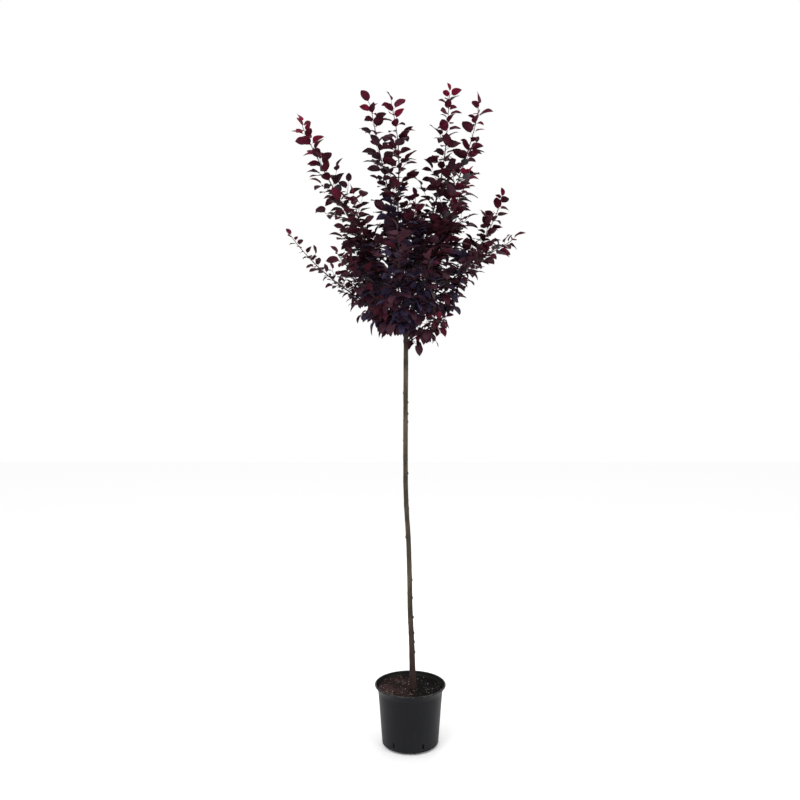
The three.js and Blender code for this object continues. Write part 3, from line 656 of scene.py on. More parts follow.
class GeometryTree:
    """A Geometry Nodes tree that is built here, applied once and then removed."""

    def __init__(self, name: str) -> None:
        """Starts a tree with one geometry going in and one coming out.

        Args:
            name: The tree's name.
        """
        self.tree = bpy.data.node_groups.new(name, "GeometryNodeTree")
        self.identifiers: dict[str, str] = {}
        self.forms: list[bpy.types.Object] = []
        for direction in ("INPUT", "OUTPUT"):
            self.tree.interface.new_socket(
                "Geometry", in_out=direction, socket_type="NodeSocketGeometry"
            )
        self.enter = self.tree.nodes.new("NodeGroupInput")
        self.leave = self.tree.nodes.new("NodeGroupOutput")

    @property
    def geometry(self) -> bpy.types.NodeSocket:
        """The geometry that comes in."""
        return self.enter.outputs["Geometry"]

    def add_input(self, name: str, kind: str = "Float") -> bpy.types.NodeSocket:
        """Adds a named input.

        Args:
            name: What the input is called.
            kind: Its socket's type, Float or Int.

        Returns:
            The socket to link it from.
        """
        socket = self.tree.interface.new_socket(
            name, in_out="INPUT", socket_type="NodeSocket" + kind
        )
        self.identifiers[name] = socket.identifier
        return next(o for o in self.enter.outputs if o.identifier == socket.identifier)

    def feed(self, socket: bpy.types.NodeSocket, value: object) -> None:
        """Links or sets an input.

        Args:
            socket: The input.
            value: The socket that it is linked to, or its value.
        """
        if isinstance(value, bpy.types.NodeSocket):
            self.tree.links.new(value, socket)
        else:
            socket.default_value = value

    def node(
        self,
        kind: str,
        values: dict[str | int, object] | None = None,
        **settings: object,
    ) -> bpy.types.Node:
        """Adds one node.

        Args:
            kind: The node's type.
            values: Numbers or sockets for its inputs, by name or place.
            settings: Its properties, set before its inputs.

        Returns:
            The new node.
        """
        made = self.tree.nodes.new(kind)
        for key, value in settings.items():
            setattr(made, key, value)
        for key, value in (values or {}).items():
            self.feed(made.inputs[key], value)
        return made

    def named(self, name: str, kind: str) -> bpy.types.NodeSocket:
        """Reads an attribute of the geometry."""
        made = self.node("GeometryNodeInputNamedAttribute", {"Name": name}, data_type=kind)
        return made.outputs["Attribute"]

    def random(
        self, kind: str, limits: tuple[object, object], seed: bpy.types.NodeSocket
    ) -> bpy.types.NodeSocket:
        """Gives each point a random number or vector.

        Args:
            kind: VALUE for a number, or VECTOR.
            limits: The least and the greatest value.
            seed: Whole number that it follows.

        Returns:
            The socket that holds it.
        """
        data_type = {"VALUE": "FLOAT", "VECTOR": "FLOAT_VECTOR"}[kind]
        made = self.node("FunctionNodeRandomValue", {"Seed": seed}, data_type=data_type)
        ends = [s for s in made.inputs if s.type == kind and s.name in ("Min", "Max")]
        for socket, value in zip(ends, limits):
            self.feed(socket, value)
        return next(o for o in made.outputs if o.type == kind)

    def placed(
        self,
        points: bpy.types.NodeSocket,
        forms: list[bpy.types.Object],
        values: dict[str | int, object],
    ) -> bpy.types.NodeSocket:
        """Places one of several forms on each point.

        Args:
            points: The points.
            forms: What is picked from, gone once the tree is applied.
            values: Turn, scale and the like, for the node's inputs.

        Returns:
            The socket that holds them all.
        """
        pile = bpy.data.collections.new(self.tree.name)
        self.forms = forms
        for form in forms:
            pile.objects.link(form)
        heap = self.node(
            "GeometryNodeCollectionInfo", {"Collection": pile, "Separate Children": True}
        )
        values = {"Points": points, "Instance": heap.outputs[0], "Pick Instance": True, **values}
        return self.node("GeometryNodeInstanceOnPoints", values).outputs["Instances"]

    def apply(
        self,
        target: bpy.types.Object,
        geometry: bpy.types.NodeSocket,
        material: bpy.types.Material,
        values: dict[str, object],
    ) -> bpy.types.Object:
        """Ends the tree and turns its result into the object's plain mesh.

        Args:
            target: The object that carries the tree.
            geometry: The socket that holds the result.
            material: What the result is made of.
            values: The named inputs' values.

        Returns:
            The same object, with a new mesh and no modifier.
        """
        real = self.node("GeometryNodeRealizeInstances", {"Geometry": geometry})
        coat = {"Geometry": real.outputs[0], "Material": material}
        coloured = self.node("GeometryNodeSetMaterial", coat)
        self.tree.links.new(coloured.outputs[0], self.leave.inputs["Geometry"])
        modifier = target.modifiers.new("tree", "NODES")
        modifier.node_group = self.tree
        for name, value in values.items():
            modifier[self.identifiers[name]] = value
        graph = bpy.context.evaluated_depsgraph_get()
        mesh = bpy.data.meshes.new_from_object(target.evaluated_get(graph), depsgraph=graph)
        target.modifiers.remove(modifier)
        old = target.data
        target.data = mesh
        bpy.data.meshes.remove(old)
        bpy.data.node_groups.remove(self.tree)
        for form in self.forms:
            for pile in form.users_collection:
                bpy.data.collections.remove(pile)
            bpy.data.objects.remove(form)
        return target


@dataclass(frozen=True)
class Stem:
    """The trunk's line and girth, from the compost to its head.

    line lists where its middle stands, as a height and an X, in metres.
    """

    soil: float
    top: float
    line: tuple[tuple[float, float], ...] = (
        (0.200, 0.0110),
        (0.330, 0.0085),
        (0.430, 0.0055),
        (0.560, -0.0005),
        (0.700, -0.0030),
        (0.850, -0.0075),
        (1.010, -0.0170),
        (1.120, -0.0200),
        (1.400, -0.0200),
        (1.650, -0.0186),
        (1.900, -0.0190),
    )
    foot_x: float = 0.011
    sway: float = 0.003
    sway_length: float = 1.15
    girth: float = 0.0088
    foot_swell: float = 0.0036
    swell_height: float = 0.26
    flare: float = 0.0045
    flare_height: float = 0.024
    lobes: int = 5
    lobe_depth: float = 0.1
    head_taper: float = 0.0014
    taper_from: float = 1.7

    def lean(self, row: int) -> float:
        """Works out how fast the line shifts sideways at one of its rows.

        Args:
            row: The row's number.

        Returns:
            Metres across for each metre up.
        """
        after = self.line[min(row + 1, len(self.line) - 1)]
        before = self.line[max(row - 1, 0)]
        return (after[1] - before[1]) / (after[0] - before[0])

    def axis(self, z: float) -> Array:
        """Finds the middle of the stem.

        Args:
            z: The height.

        Returns:
            The point, in metres.
        """
        row = next(i for i, (height, _) in enumerate(self.line) if height > z) - 1
        (low, start), (high, end) = self.line[row], self.line[row + 1]
        s = (z - low) / (high - low)
        lean = (1 - s) ** 2 * s * self.lean(row) - s**2 * (1 - s) * self.lean(row + 1)
        x = lerp(start, end, s * s * (3 - 2 * s)) + lean * (high - low)
        y = self.sway * math.sin(2 * math.pi * (z - self.soil) / self.sway_length)
        return np.array((x, y, z))

    def radius(self, z: float) -> float:
        """Works out half the stem's width.

        Args:
            z: The height.

        Returns:
            The radius, in metres.
        """
        height = z - self.soil
        swell = self.foot_swell * math.exp(-height / self.swell_height)
        flare = self.flare * math.exp(-height / self.flare_height)
        near_head = clamp((z - self.taper_from) / (self.top - self.taper_from), 0.0, 1.0)
        return self.girth + swell + flare - self.head_taper * near_head


@dataclass(frozen=True)
class Shoot:
    """One leading shoot: the bough that it starts as and the mass of foliage that it carries.

    turn is the compass turn in degrees from the right by way of the back, reach and top are where
    it ends, foot is where it leaves the trunk, and radius is its half width there. spread is how
    early it swings outwards, rise is how late it climbs, leaf is how large its leaves are, twigs
    is how long its side twigs are, and red is how much redder its leaves
    are, and below 0 how much darker, as painted shade.
    """

    name: str
    turn: float
    reach: float
    top: float
    foot: float
    radius: float
    spread: float
    rise: float
    leaf: float
    twigs: float
    red: float = 0.0
    index: int = 0
    has_bough: bool = True
    curved: ClassVar[float] = 1.04
    bough_share: ClassVar[float] = 0.15
    bough_limits: ClassVar[tuple[float, float]] = (0.084, 0.132)
    under_head: ClassVar[float] = 0.015
    sunk: ClassVar[float] = 0.75
    sway: ClassVar[float] = 0.022
    sway_waves: ClassVar[float] = 2.3
    sway_shift: ClassVar[float] = 0.37
    sway_lift: ClassVar[float] = 0.4
    end_radius: ClassVar[float] = 0.0011
    taper: ClassVar[float] = 0.75
    probe: ClassVar[float] = 1e-3
    probe_limits: ClassVar[tuple[float, float]] = (0.01, 0.998)

    @property
    def length(self) -> float:
        """The shoot's whole length."""
        return math.hypot(self.reach, self.top - self.foot) * self.curved

    @property
    def bough_length(self) -> float:
        """How much of it is bare bough."""
        return clamp(self.length * self.bough_share, *self.bough_limits) if self.has_bough else 0.0

    @property
    def outward(self) -> Array:
        """The level direction it grows in."""
        turn = math.radians(self.turn)
        return np.array((math.cos(turn), math.sin(turn), 0.0))

    def point(self, stem: Stem, t: float) -> Array:
        """Finds a point of the shoot.

        Args:
            stem: The trunk that it grows from.
            t: Share of its length, from 0 at the trunk to 1 at its end.

        Returns:
            The point, in metres.
        """
        at_head = self.foot > stem.top - self.under_head
        start = 0.0 if at_head else stem.radius(self.foot) * self.sunk
        out = start + (self.reach - start) * (1 - (1 - t) ** self.spread)
        phase = (self.index * self.sway_shift) % 1
        sway = self.sway * self.length * math.sin(math.pi * (self.sway_waves * t + phase)) * t
        height = (self.top - self.foot) * t**self.rise + sway * self.sway_lift
        sideways = np.cross(UP, self.outward)
        level = stem.axis(self.foot) + self.outward * out + sideways * sway
        return level + UP * height

    def slope(self, stem: Stem, t: float) -> Array:
        """Returns the direction it grows in at a share of its length."""
        inside = clamp(t, *self.probe_limits)
        return unit(self.point(stem, inside + self.probe) - self.point(stem, inside - self.probe))

    def girth(self, t: float) -> float:
        """Returns its radius at a share of its length."""
        return lerp(self.radius, self.end_radius, t**self.taper)


# Where a row has an eleventh number, it makes the shoot's leaves redder, and below 0 darker as
# painted shade.
SHOOTS = (
    Shoot("left_low", 188, 0.480, 2.122, 1.772, 0.0050, 1.10, 1.25, 0.65, 0.45),
    Shoot("left_high", 161, 0.480, 2.665, 1.822, 0.0064, 1.10, 1.00, 1.10, 1.25, 0.08),
    Shoot("back_left_high", 139, 0.222, 2.775, 1.848, 0.0058, 0.72, 1.00, 1.05, 0.50),
    Shoot("back_left_low", 124, 0.410, 2.160, 1.734, 0.0056, 1.20, 0.90, 1.00, 0.80),
    Shoot("back", 83, 0.428, 2.360, 1.796, 0.0060, 1.30, 1.00, 1.00, 0.80),
    Shoot("back_right_low", 62, 0.380, 2.200, 1.754, 0.0054, 1.20, 0.85, 1.00, 0.70),
    Shoot("back_right_high", 30, 0.238, 2.800, 1.824, 0.0060, 1.30, 1.00, 1.05, 0.75),
    Shoot("right_mid", 17, 0.446, 2.340, 1.774, 0.0058, 1.40, 1.10, 1.00, 0.50, -0.08),
    Shoot("right_low", 350, 0.445, 2.112, 1.718, 0.0054, 1.10, 0.55, 0.95, 0.35),
    Shoot("right_high", 339, 0.312, 2.645, 1.794, 0.0060, 1.25, 1.00, 1.10, 0.90),
    Shoot("front_right_low", 287, 0.300, 1.990, 1.700, 0.0052, 1.10, 0.85, 0.90, 0.80, -0.3),
    Shoot("front_right", 316, 0.330, 2.330, 1.752, 0.0050, 1.15, 0.90, 1.00, 0.90, 0.12),
    Shoot("front_low", 264, 0.400, 2.062, 1.720, 0.0056, 1.30, 1.10, 1.00, 0.90, -0.35),
    Shoot("front_high", 255, 0.202, 2.632, 1.836, 0.0056, 1.30, 1.00, 1.10, 0.60),
    Shoot("left_mid", 205, 0.243, 2.272, 1.790, 0.0052, 1.20, 1.00, 1.05, 1.00, 0.1),
    Shoot("front_left", 217, 0.340, 2.020, 1.742, 0.0056, 1.20, 0.90, 1.00, 0.65, -0.05),
)
BOUGHLESS = (
    Shoot("skirt_1", 2, 0.166, 1.796, 1.700, 0.0032, 1.20, 0.80, 0.78, 1.00, 0.3),
    Shoot("skirt_2", 77, 0.140, 1.830, 1.724, 0.0032, 1.20, 0.70, 0.85, 0.80, 0.15),
    Shoot("skirt_3", 149, 0.180, 1.880, 1.750, 0.0032, 1.20, 0.70, 0.85, 1.00, 0.3),
    Shoot("skirt_4", 236, 0.190, 1.856, 1.704, 0.0032, 1.20, 0.70, 0.85, 1.00, 0.3),
    Shoot("skirt_5", 314, 0.205, 1.775, 1.684, 0.0032, 1.20, 0.80, 0.78, 1.00, 0.35),
    Shoot("heart", 320, 0.052, 2.300, 1.860, 0.0046, 1.20, 1.00, 1.00, 0.80),
)


def all_shoots() -> list[Shoot]:
    """Lists every shoot of the head, those that have no bough last."""
    rows = [*SHOOTS, *BOUGHLESS]
    return [replace(row, index=i, has_bough=row in SHOOTS) for i, row in enumerate(rows)]


@dataclass
class Limb:
    """A tapering limb: the points along its middle and its radius at each."""

    points: Array
    radii: Array


@dataclass
class Leaf:
    """One leaf: where its blade starts, how it lies, its length, its form and its tone."""

    root: Array
    along: Array
    normal: Array
    length: float
    form: int
    tone: Tone


class Spaces:
    """The room round each shoot, for keeping leaves out of limbs and out of each other."""

    stretch = 0.05
    off_limb = 0.002
    off_stem = 0.003

    def __init__(self, stem: Stem, shoots: Sequence[Shoot]) -> None:
        """Measures every shoot's line once.

        Args:
            stem: The trunk.
            shoots: Every shoot of the head.
        """
        self.stem = stem
        starts, ends, owners, bares, girths = [], [], [], [], []
        for shoot in shoots:
            steps = max(4, round(shoot.length / self.stretch))
            line = [shoot.point(stem, i / steps) for i in range(steps + 1)]
            for i in range(steps):
                starts.append(line[i])
                ends.append(line[i + 1])
                owners.append(shoot.index)
                bares.append((i + 1) / steps * shoot.length < shoot.bough_length)
                girths.append(shoot.girth(i / steps))
        self.start = np.array(starts)
        self.reach = np.array(ends) - self.start
        self.square = (self.reach**2).sum(1)
        self.owner = np.array(owners)
        self.bare = np.array(bares)
        self.girth = np.array(girths)
        self.blades: dict[tuple[int, int, int], list[Array]] = {}

    def distances(self, points: Array) -> Array:
        """Measures from points to every stretch of every shoot.

        Args:
            points: One row for each point.

        Returns:
            One row for each point and one column for each stretch, in metres.
        """
        offset = points[:, None, :] - self.start[None]
        share = np.clip((offset * self.reach[None]).sum(2) / self.square, 0.0, 1.0)
        return np.linalg.norm(offset - share[..., None] * self.reach[None], axis=2)

    def free(self, points: Array, owner: int, margin: float) -> bool:
        """Says whether points are in a shoot's own room and clear of limbs.

        Args:
            points: One row for each point.
            owner: The shoot's index.
            margin: How far a point may reach into the next room.

        Returns:
            True if all of them are.
        """
        away = self.distances(points)
        if (away[:, self.bare] < self.girth[self.bare] + self.off_limb).any():
            return False
        own = away[:, self.owner == owner].min(1)
        other = away[:, self.owner != owner].min(1)
        if (own > other + margin).any():
            return False
        for x, y, z in points:
            if z < self.stem.top:
                middle = self.stem.axis(z)
                clear = self.stem.radius(z) + self.off_stem
                if math.hypot(x - middle[0], y - middle[1]) < clear:
                    return False
        return True

    def crowded(self, middle: Array, clearance: float) -> bool:
        """Says whether a blade's middle lies too near another's, and notes it if not.

        Args:
            middle: The blade's middle.
            clearance: The least distance between two middles.

        Returns:
            True if another is nearer than that.
        """
        cell = tuple(int(c) for c in np.floor(middle / clearance))
        cells = product(*((c - 1, c, c + 1) for c in cell))
        near = [other for place in cells for other in self.blades.get(place, ())]
        if any(np.linalg.norm(other - middle) < clearance for other in near):
            return True
        self.blades.setdefault(cell, []).append(middle)
        return False


@dataclass(frozen=True)
class ToneRule:
    """Deals leaves their tones: reddest at high young tips, darkest in the low heart."""

    red_above: float = 2.50
    dull_below: float = 1.88
    high_tip: float = 1.05
    low_tip: float = 0.3
    outer: float = 0.6
    outermost: float = 0.4
    low_loss: float = 0.1
    shade_loss: float = 0.6
    darkest_at: float = 2.045
    dark_rise: float = 0.16
    dark_reach: float = 0.155
    chances: tuple[float, float] = (-0.22, 0.50)
    # Share of leaves dealt the grey tone, for undersides and a painted glossy reflection.
    underside_and_reflection_share: float = 0.025
    limits: tuple[float, ...] = (1.26, 0.84, 0.40, -0.06)

    def deal(self, z: float, out: float, tip: float, red: float, chance: float) -> Tone:
        """Picks a leaf's tone.

        Args:
            z: Height of its foot.
            out: How far it is from the middle of the head.
            tip: How near it is to a young tip, from 0 to 1.
            red: How much redder its shoot is than others, and below 0 how much darker, as painted
                shade.
            chance: A random number from 0 to 1.

        Returns:
            The tone.
        """
        low = clamp((self.red_above - z) / (self.red_above - self.dull_below), 0.0, 1.0)
        shade = math.exp(-(((z - self.darkest_at) / self.dark_rise) ** 2))
        shade *= math.exp(-((out / self.dark_reach) ** 2))
        youth = tip * lerp(self.high_tip, self.low_tip, low) + self.outer * min(out, self.outermost)
        # The shoot's own shift: redder above 0, darker below 0 as painted shade.
        youth += red + lerp(*self.chances, chance) - self.low_loss * low - self.shade_loss * shade
        # Grey leaves: undersides, and a painted glossy reflection.
        if abs(chance - 0.5) < self.underside_and_reflection_share / 2:
            return Tone.PEWTER
        return next((tone for tone, limit in zip(Tone, self.limits) if youth > limit), Tone.DUSK)


@dataclass(frozen=True)
class Openness:
    """How open the head is: dense low down in its middle, open at its top and sides."""

    dense_below: float = 1.98
    open_above: float = 2.36
    dense_within: float = 0.15
    fade: float = 0.40
    densest: float = 0.8
    openest: float = 1.65

    def share(self, z: float, out: float) -> float:
        """Returns 0 in the dense heart and 1 where the head is open."""
        up = (z - self.dense_below) / (self.open_above - self.dense_below)
        return clamp(max(up, (out - self.dense_within) / self.fade), 0.0, 1.0)

    def spacing(self, z: float, out: float) -> float:
        """Returns how far apart leaves and twigs stand, as a share of their pitch."""
        return lerp(self.densest, self.openest, self.share(z, out))


@dataclass(frozen=True)
class Droop:
    """How far leaves hang: most low down inside the head, least at its outside and top."""

    most: float = 1.15
    least: float = 0.12
    outside: float = 0.25
    within: float = 0.100
    fade: float = 0.180
    hanging_below: float = 1.88
    level_above: float = 2.25

    def at(self, z: float, out: float) -> float:
        """Works out how far a leaf hangs.

        Args:
            z: Its height.
            out: How far it is from the middle of the head.

        Returns:
            Its fall, where 1 turns a level leaf 45 degrees down.
        """
        low = (self.level_above - z) / (self.level_above - self.hanging_below)
        inside = 1 - clamp((out - self.within) / self.fade, 0.0, 1.0)
        share = clamp(low, 0.0, 1.0) * lerp(self.outside, 1.0, inside)
        return self.most * max(self.least, share)


@dataclass(frozen=True)
class TwigRule:
    """Where side twigs stand, how long they grow and how they bend.

    thick is the radius of a twig of no length, what each metre adds, and the most.
    """

    pitch: float = 0.026
    first: float = 0.42
    bare_foot: float = 0.03
    bare_tip_share: float = 0.20
    angle: float = 52.0
    waver: float = 9.0
    longest: float = 0.125
    shortest: float = 0.030
    growth: float = 0.25
    sizes: tuple[float, float] = (0.75, 1.1)
    short_below: float = 0.9
    lift: float = 0.16
    sag: float = 0.08
    kink: float = 0.05
    kink_waves: float = 1.6
    points: int = 6
    finer_points: int = 4
    thick: tuple[float, float, float] = (0.0009, 0.007, 0.0019)
    end_radius: float = 0.0008
    room: float = 0.012
    finer_over: float = 0.055
    finer_pitch: float = 0.026
    finer_lengths: tuple[float, float] = (0.055, 0.03)
    finer_sizes: tuple[float, float] = (0.8, 1.15)
    finer_within: float = 0.4
    finer_tip: float = 0.9
    tip_at_end: float = 0.5

    def line(
        self, base: Array, heading: Array, length: float, fall: float, kink: float
    ) -> Callable[[float], Array]:
        """Returns the rule for the twig's middle line.

        Args:
            base: Where it leaves its parent.
            heading: The direction that it starts in.
            length: How long it is.
            fall: How far its end rises or, below 0, sags.
            kink: How far it waves sideways, as a share of its length.

        Returns:
            A function from a share of its length to a point.
        """
        aside = np.cross(heading, UP) * length * kink

        def point(s: float) -> Array:
            """Returns the point at a share of the twig's length."""
            wave = aside * math.sin(s * math.pi * self.kink_waves)
            return base + heading * length * s + UP * fall * s**2 + wave

        return point

    def radii(self, length: float, count: int) -> Array:
        """Lists the radius at each point of a twig."""
        least, growth, most = self.thick
        return np.linspace(min(most, least + length * growth), self.end_radius, count)


@dataclass(frozen=True)
class LeafRule:
    """How large leaves are, how they stand on the wood and how near each other they come.

    stalk_bend is the share of the stalk where it bends, and how far it rises there.
    """

    leader_pitch: float = 0.0138
    leader_first: float = 0.012
    leader_last: float = 0.008
    twig_pitch: float = 0.0135
    twig_first: float = 0.7
    twig_tip: float = 0.55
    tries: int = 3
    length: float = 0.054
    sizes: tuple[float, float] = (0.68, 1.26)
    tip_size: float = 0.84
    half_breadth: float = 0.24
    angle: float = 58.0
    waver: float = 10.0
    lift: float = 0.20
    falls: tuple[float, float] = (0.45, 1.15)
    roll: float = 26.0
    tip_roll: float = 55.0
    room: float = 0.016
    clearance: float = 0.0080
    forms: int = 8
    young_length: float = 0.36
    young_fade: float = 0.8
    stalk: float = 0.012
    stalk_lift: float = 0.25
    stalk_bend: tuple[float, float] = (0.55, 0.0006)
    stalk_end: float = 0.002
    stalk_radii: tuple[float, float, float] = (8e-4, 6e-4, 5e-4)

    def youth(self, to_end: float) -> float:
        """Returns how near a place is to a young tip, from 0 to 1."""
        return clamp(1.0 - to_end / self.young_length, 0.0, 1.0) ** self.young_fade


@dataclass
class Growth:
    """Grows the head: twigs, leaf stalks and leaves on every shoot, by the seeded rules."""

    stem: Stem
    shoots: list[Shoot]
    open: Openness = Openness()
    droop: Droop = Droop()
    twig: TwigRule = TwigRule()
    leaf: LeafRule = LeafRule()
    tones: ToneRule = ToneRule()
    uneven: tuple[float, float] = (0.8, 1.2)
    slack: float = 0.02
    seed: int = 7919
    seed_shift: int = 3
    first_turn: float = 53.0
    twigs: list[Limb] = field(default_factory=list)
    stalks: list[Limb] = field(default_factory=list)
    leaves: list[Leaf] = field(default_factory=list)

    def __post_init__(self) -> None:
        """Measures the room and the reach that the growth keeps to."""
        self.spaces = Spaces(self.stem, self.shoots)
        self.reaches = {
            shoot.index: [np.array(c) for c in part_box("foliage_" + shoot.name)]
            for shoot in self.shoots
        }

    def where(self, place: Array) -> tuple[float, float]:
        """Returns a place's height and how far out from the middle of the head it lies."""
        middle = self.stem.axis(self.stem.top)
        return place[2], math.hypot(place[0] - middle[0], place[1])

    def has_room(self, points: Array, shoot: Shoot, margin: float) -> bool:
        """Says whether points stay in the reach and the room of a shoot's mass, off every limb.

        Args:
            points: One row for each point.
            shoot: The shoot that they belong to.
            margin: How far a point may reach into the next room.

        Returns:
            True if all of them do.
        """
        low, high = self.reaches[shoot.index]
        if shoot.has_bough:
            low = np.minimum(low, shoot.point(self.stem, 0.0))
        if (points <= low - self.slack).any() or (points >= high + self.slack).any():
            return False
        return self.spaces.free(points, shoot.index, margin)

    def add_leaf(
        self, shoot: Shoot, seeded: Seeded, base: Array, heading: Array, tip: float
    ) -> None:
        """Adds a leaf and its stalk, unless it would leave the mass's room.

        Args:
            shoot: The shoot that it grows on.
            seeded: The shoot's random stream.
            base: Where its stalk leaves the wood.
            heading: The direction it grows in before it droops.
            tip: How near it is to a young tip, from 0 to 1.
        """
        rule = self.leaf
        z, out = self.where(base)
        stalk_way = unit(unit(heading) + UP * rule.stalk_lift)
        most = lerp(rule.roll, rule.tip_roll, tip)
        for _ in range(rule.tries):
            size = shoot.leaf * seeded.between(*rule.sizes)
            length = rule.length * size * lerp(1.0, rule.tip_size, tip)
            root = base + stalk_way * rule.stalk * size
            fall = self.droop.at(z, out) * seeded.between(*rule.falls) - rule.lift
            along = unit(unit(heading) - UP * fall)
            normal = around(along, UP, math.radians(seeded.between(-most, most)))
            middle = root + along * length * 0.5
            edge = np.cross(along, normal) * length * rule.half_breadth
            blade = np.array((root + along * length, middle, middle + edge, middle - edge))
            if not self.has_room(blade, shoot, rule.room):
                continue
            if self.spaces.crowded(middle, rule.clearance):
                continue
            form = int(seeded.next() * rule.forms) % rule.forms
            tone = self.tones.deal(z, out, tip, shoot.red, seeded.next())
            self.leaves.append(Leaf(root, along, normal, length, form, tone))
            share, lift = rule.stalk_bend
            bend = base + stalk_way * rule.stalk * size * share + UP * lift
            points = np.array((base, bend, root + along * rule.stalk_end))
            self.stalks.append(Limb(points, np.array(rule.stalk_radii)))
            return

    def add_leaves(self, shoot: Shoot, seeded: Seeded, points: Array, tip: float) -> None:
        """Sets alternate leaves along a twig, and one at its end.

        Args:
            shoot: The shoot that it belongs to.
            seeded: The shoot's random stream.
            points: The points along the twig's middle.
            tip: How near it is to a young tip, from 0 to 1.
        """
        rule = self.leaf
        span = float(np.linalg.norm(points[-1] - points[0]))
        count = max(1, round(span / rule.twig_pitch / self.open.spacing(*self.where(points[0]))))
        for k in range(count):
            place = (k + rule.twig_first) / count * (len(points) - 1)
            i = min(int(place), len(points) - 2)
            base = points[i] + (points[i + 1] - points[i]) * (place - i)
            along = unit(points[i + 1] - points[i])
            aside = np.cross(along, across(along, UP)) * (1 if k % 2 == 0 else -1)
            heading = leaning(along, aside, seeded.about(rule.angle, rule.waver))
            near = rule.twig_tip + (1 - rule.twig_tip) * k / count
            self.add_leaf(shoot, seeded, base, heading, tip * near)
        self.add_leaf(shoot, seeded, points[-1], unit(points[-1] - points[-2]), tip)

    def add_twig(
        self,
        shoot: Shoot,
        seeded: Seeded,
        base: Array,
        along: Array,
        turn: float,
        length: float,
        tip: float,
        finest: bool = False,
    ) -> None:
        """Adds a side twig with its leaves, and finer twigs on a long one.

        Args:
            shoot: The shoot that it belongs to.
            seeded: The shoot's random stream.
            base: Where it leaves its parent.
            along: Its parent's direction there.
            turn: Where it stands round its parent, in radians.
            length: How long it is.
            tip: How near it is to a young tip, from 0 to 1.
            finest: Whether it grows on another twig and carries none itself.
        """
        rule = self.twig
        away = around(along, shoot.outward, turn)
        heading = unit(leaning(along, away, seeded.about(rule.angle, rule.waver)))
        length *= 1 - rule.short_below * clamp(-float(heading[2]), 0.0, 1.0)
        rise = length * (rule.lift if base[2] > self.droop.hanging_below else -rule.sag)
        line = rule.line(base, heading, length, rise, seeded.between(-rule.kink, rule.kink))
        shares = np.linspace(0.0, 1.0, rule.finer_points if finest else rule.points)
        points = np.array([line(s) for s in shares])
        if not self.has_room(points[2:], shoot, rule.room):
            return
        self.twigs.append(Limb(points, rule.radii(length, len(points))))
        self.add_leaves(shoot, seeded, points, tip)
        dense = self.open.share(*self.where(base)) < rule.finer_within
        if finest or length <= rule.finer_over or not dense:
            return
        for k in range(1, min(int(length / rule.finer_pitch), len(points) - 2) + 1):
            way = unit(points[k + 1] - points[k])
            size = lerp(*rule.finer_lengths, k / len(points)) * seeded.between(*rule.finer_sizes)
            finer = turn + k * GOLDEN_TURN
            self.add_twig(shoot, seeded, points[k], way, finer, size, tip * rule.finer_tip, True)

    def grow(self, shoot: Shoot) -> None:
        """Grows one shoot: first its side twigs, then the leaves on the leading shoot itself.

        Args:
            shoot: The shoot.
        """
        twig, leaf, stem = self.twig, self.leaf, self.stem
        seeded = Seeded(self.seed * (shoot.index + self.seed_shift))
        turn = math.radians(shoot.index * self.first_turn)
        start = shoot.bough_length * twig.first if shoot.has_bough else twig.bare_foot
        place = start
        last = shoot.length * (1 - twig.bare_tip_share)
        while place < last:
            t = place / shoot.length
            room = (last - place) * twig.growth * shoot.twigs
            length = min(twig.longest, room + twig.shortest) * seeded.between(*twig.sizes)
            base, along = shoot.point(stem, t), shoot.slope(stem, t)
            self.add_twig(shoot, seeded, base, along, turn, length, twig.tip_at_end * t)
            turn += GOLDEN_TURN
            spacing = self.open.spacing(*self.where(base))
            place += twig.pitch * spacing * seeded.between(*self.uneven)
        place = start + leaf.leader_first
        while place < shoot.length - leaf.leader_last:
            t = place / shoot.length
            base, along = shoot.point(stem, t), shoot.slope(stem, t)
            away = around(along, shoot.outward, turn)
            heading = leaning(along, away, seeded.about(leaf.angle, leaf.waver))
            self.add_leaf(shoot, seeded, base, heading, leaf.youth(shoot.length - place))
            turn += GOLDEN_TURN
            place += leaf.leader_pitch * seeded.between(*self.uneven)
        self.add_leaf(shoot, seeded, shoot.point(stem, 1.0), shoot.slope(stem, 1.0), 1.0)

    def run(self) -> None:
        """Grows the whole head."""
        for shoot in self.shoots:
            self.grow(shoot)
        LOG.info("%d twigs and %d leaves", len(self.twigs), len(self.leaves))


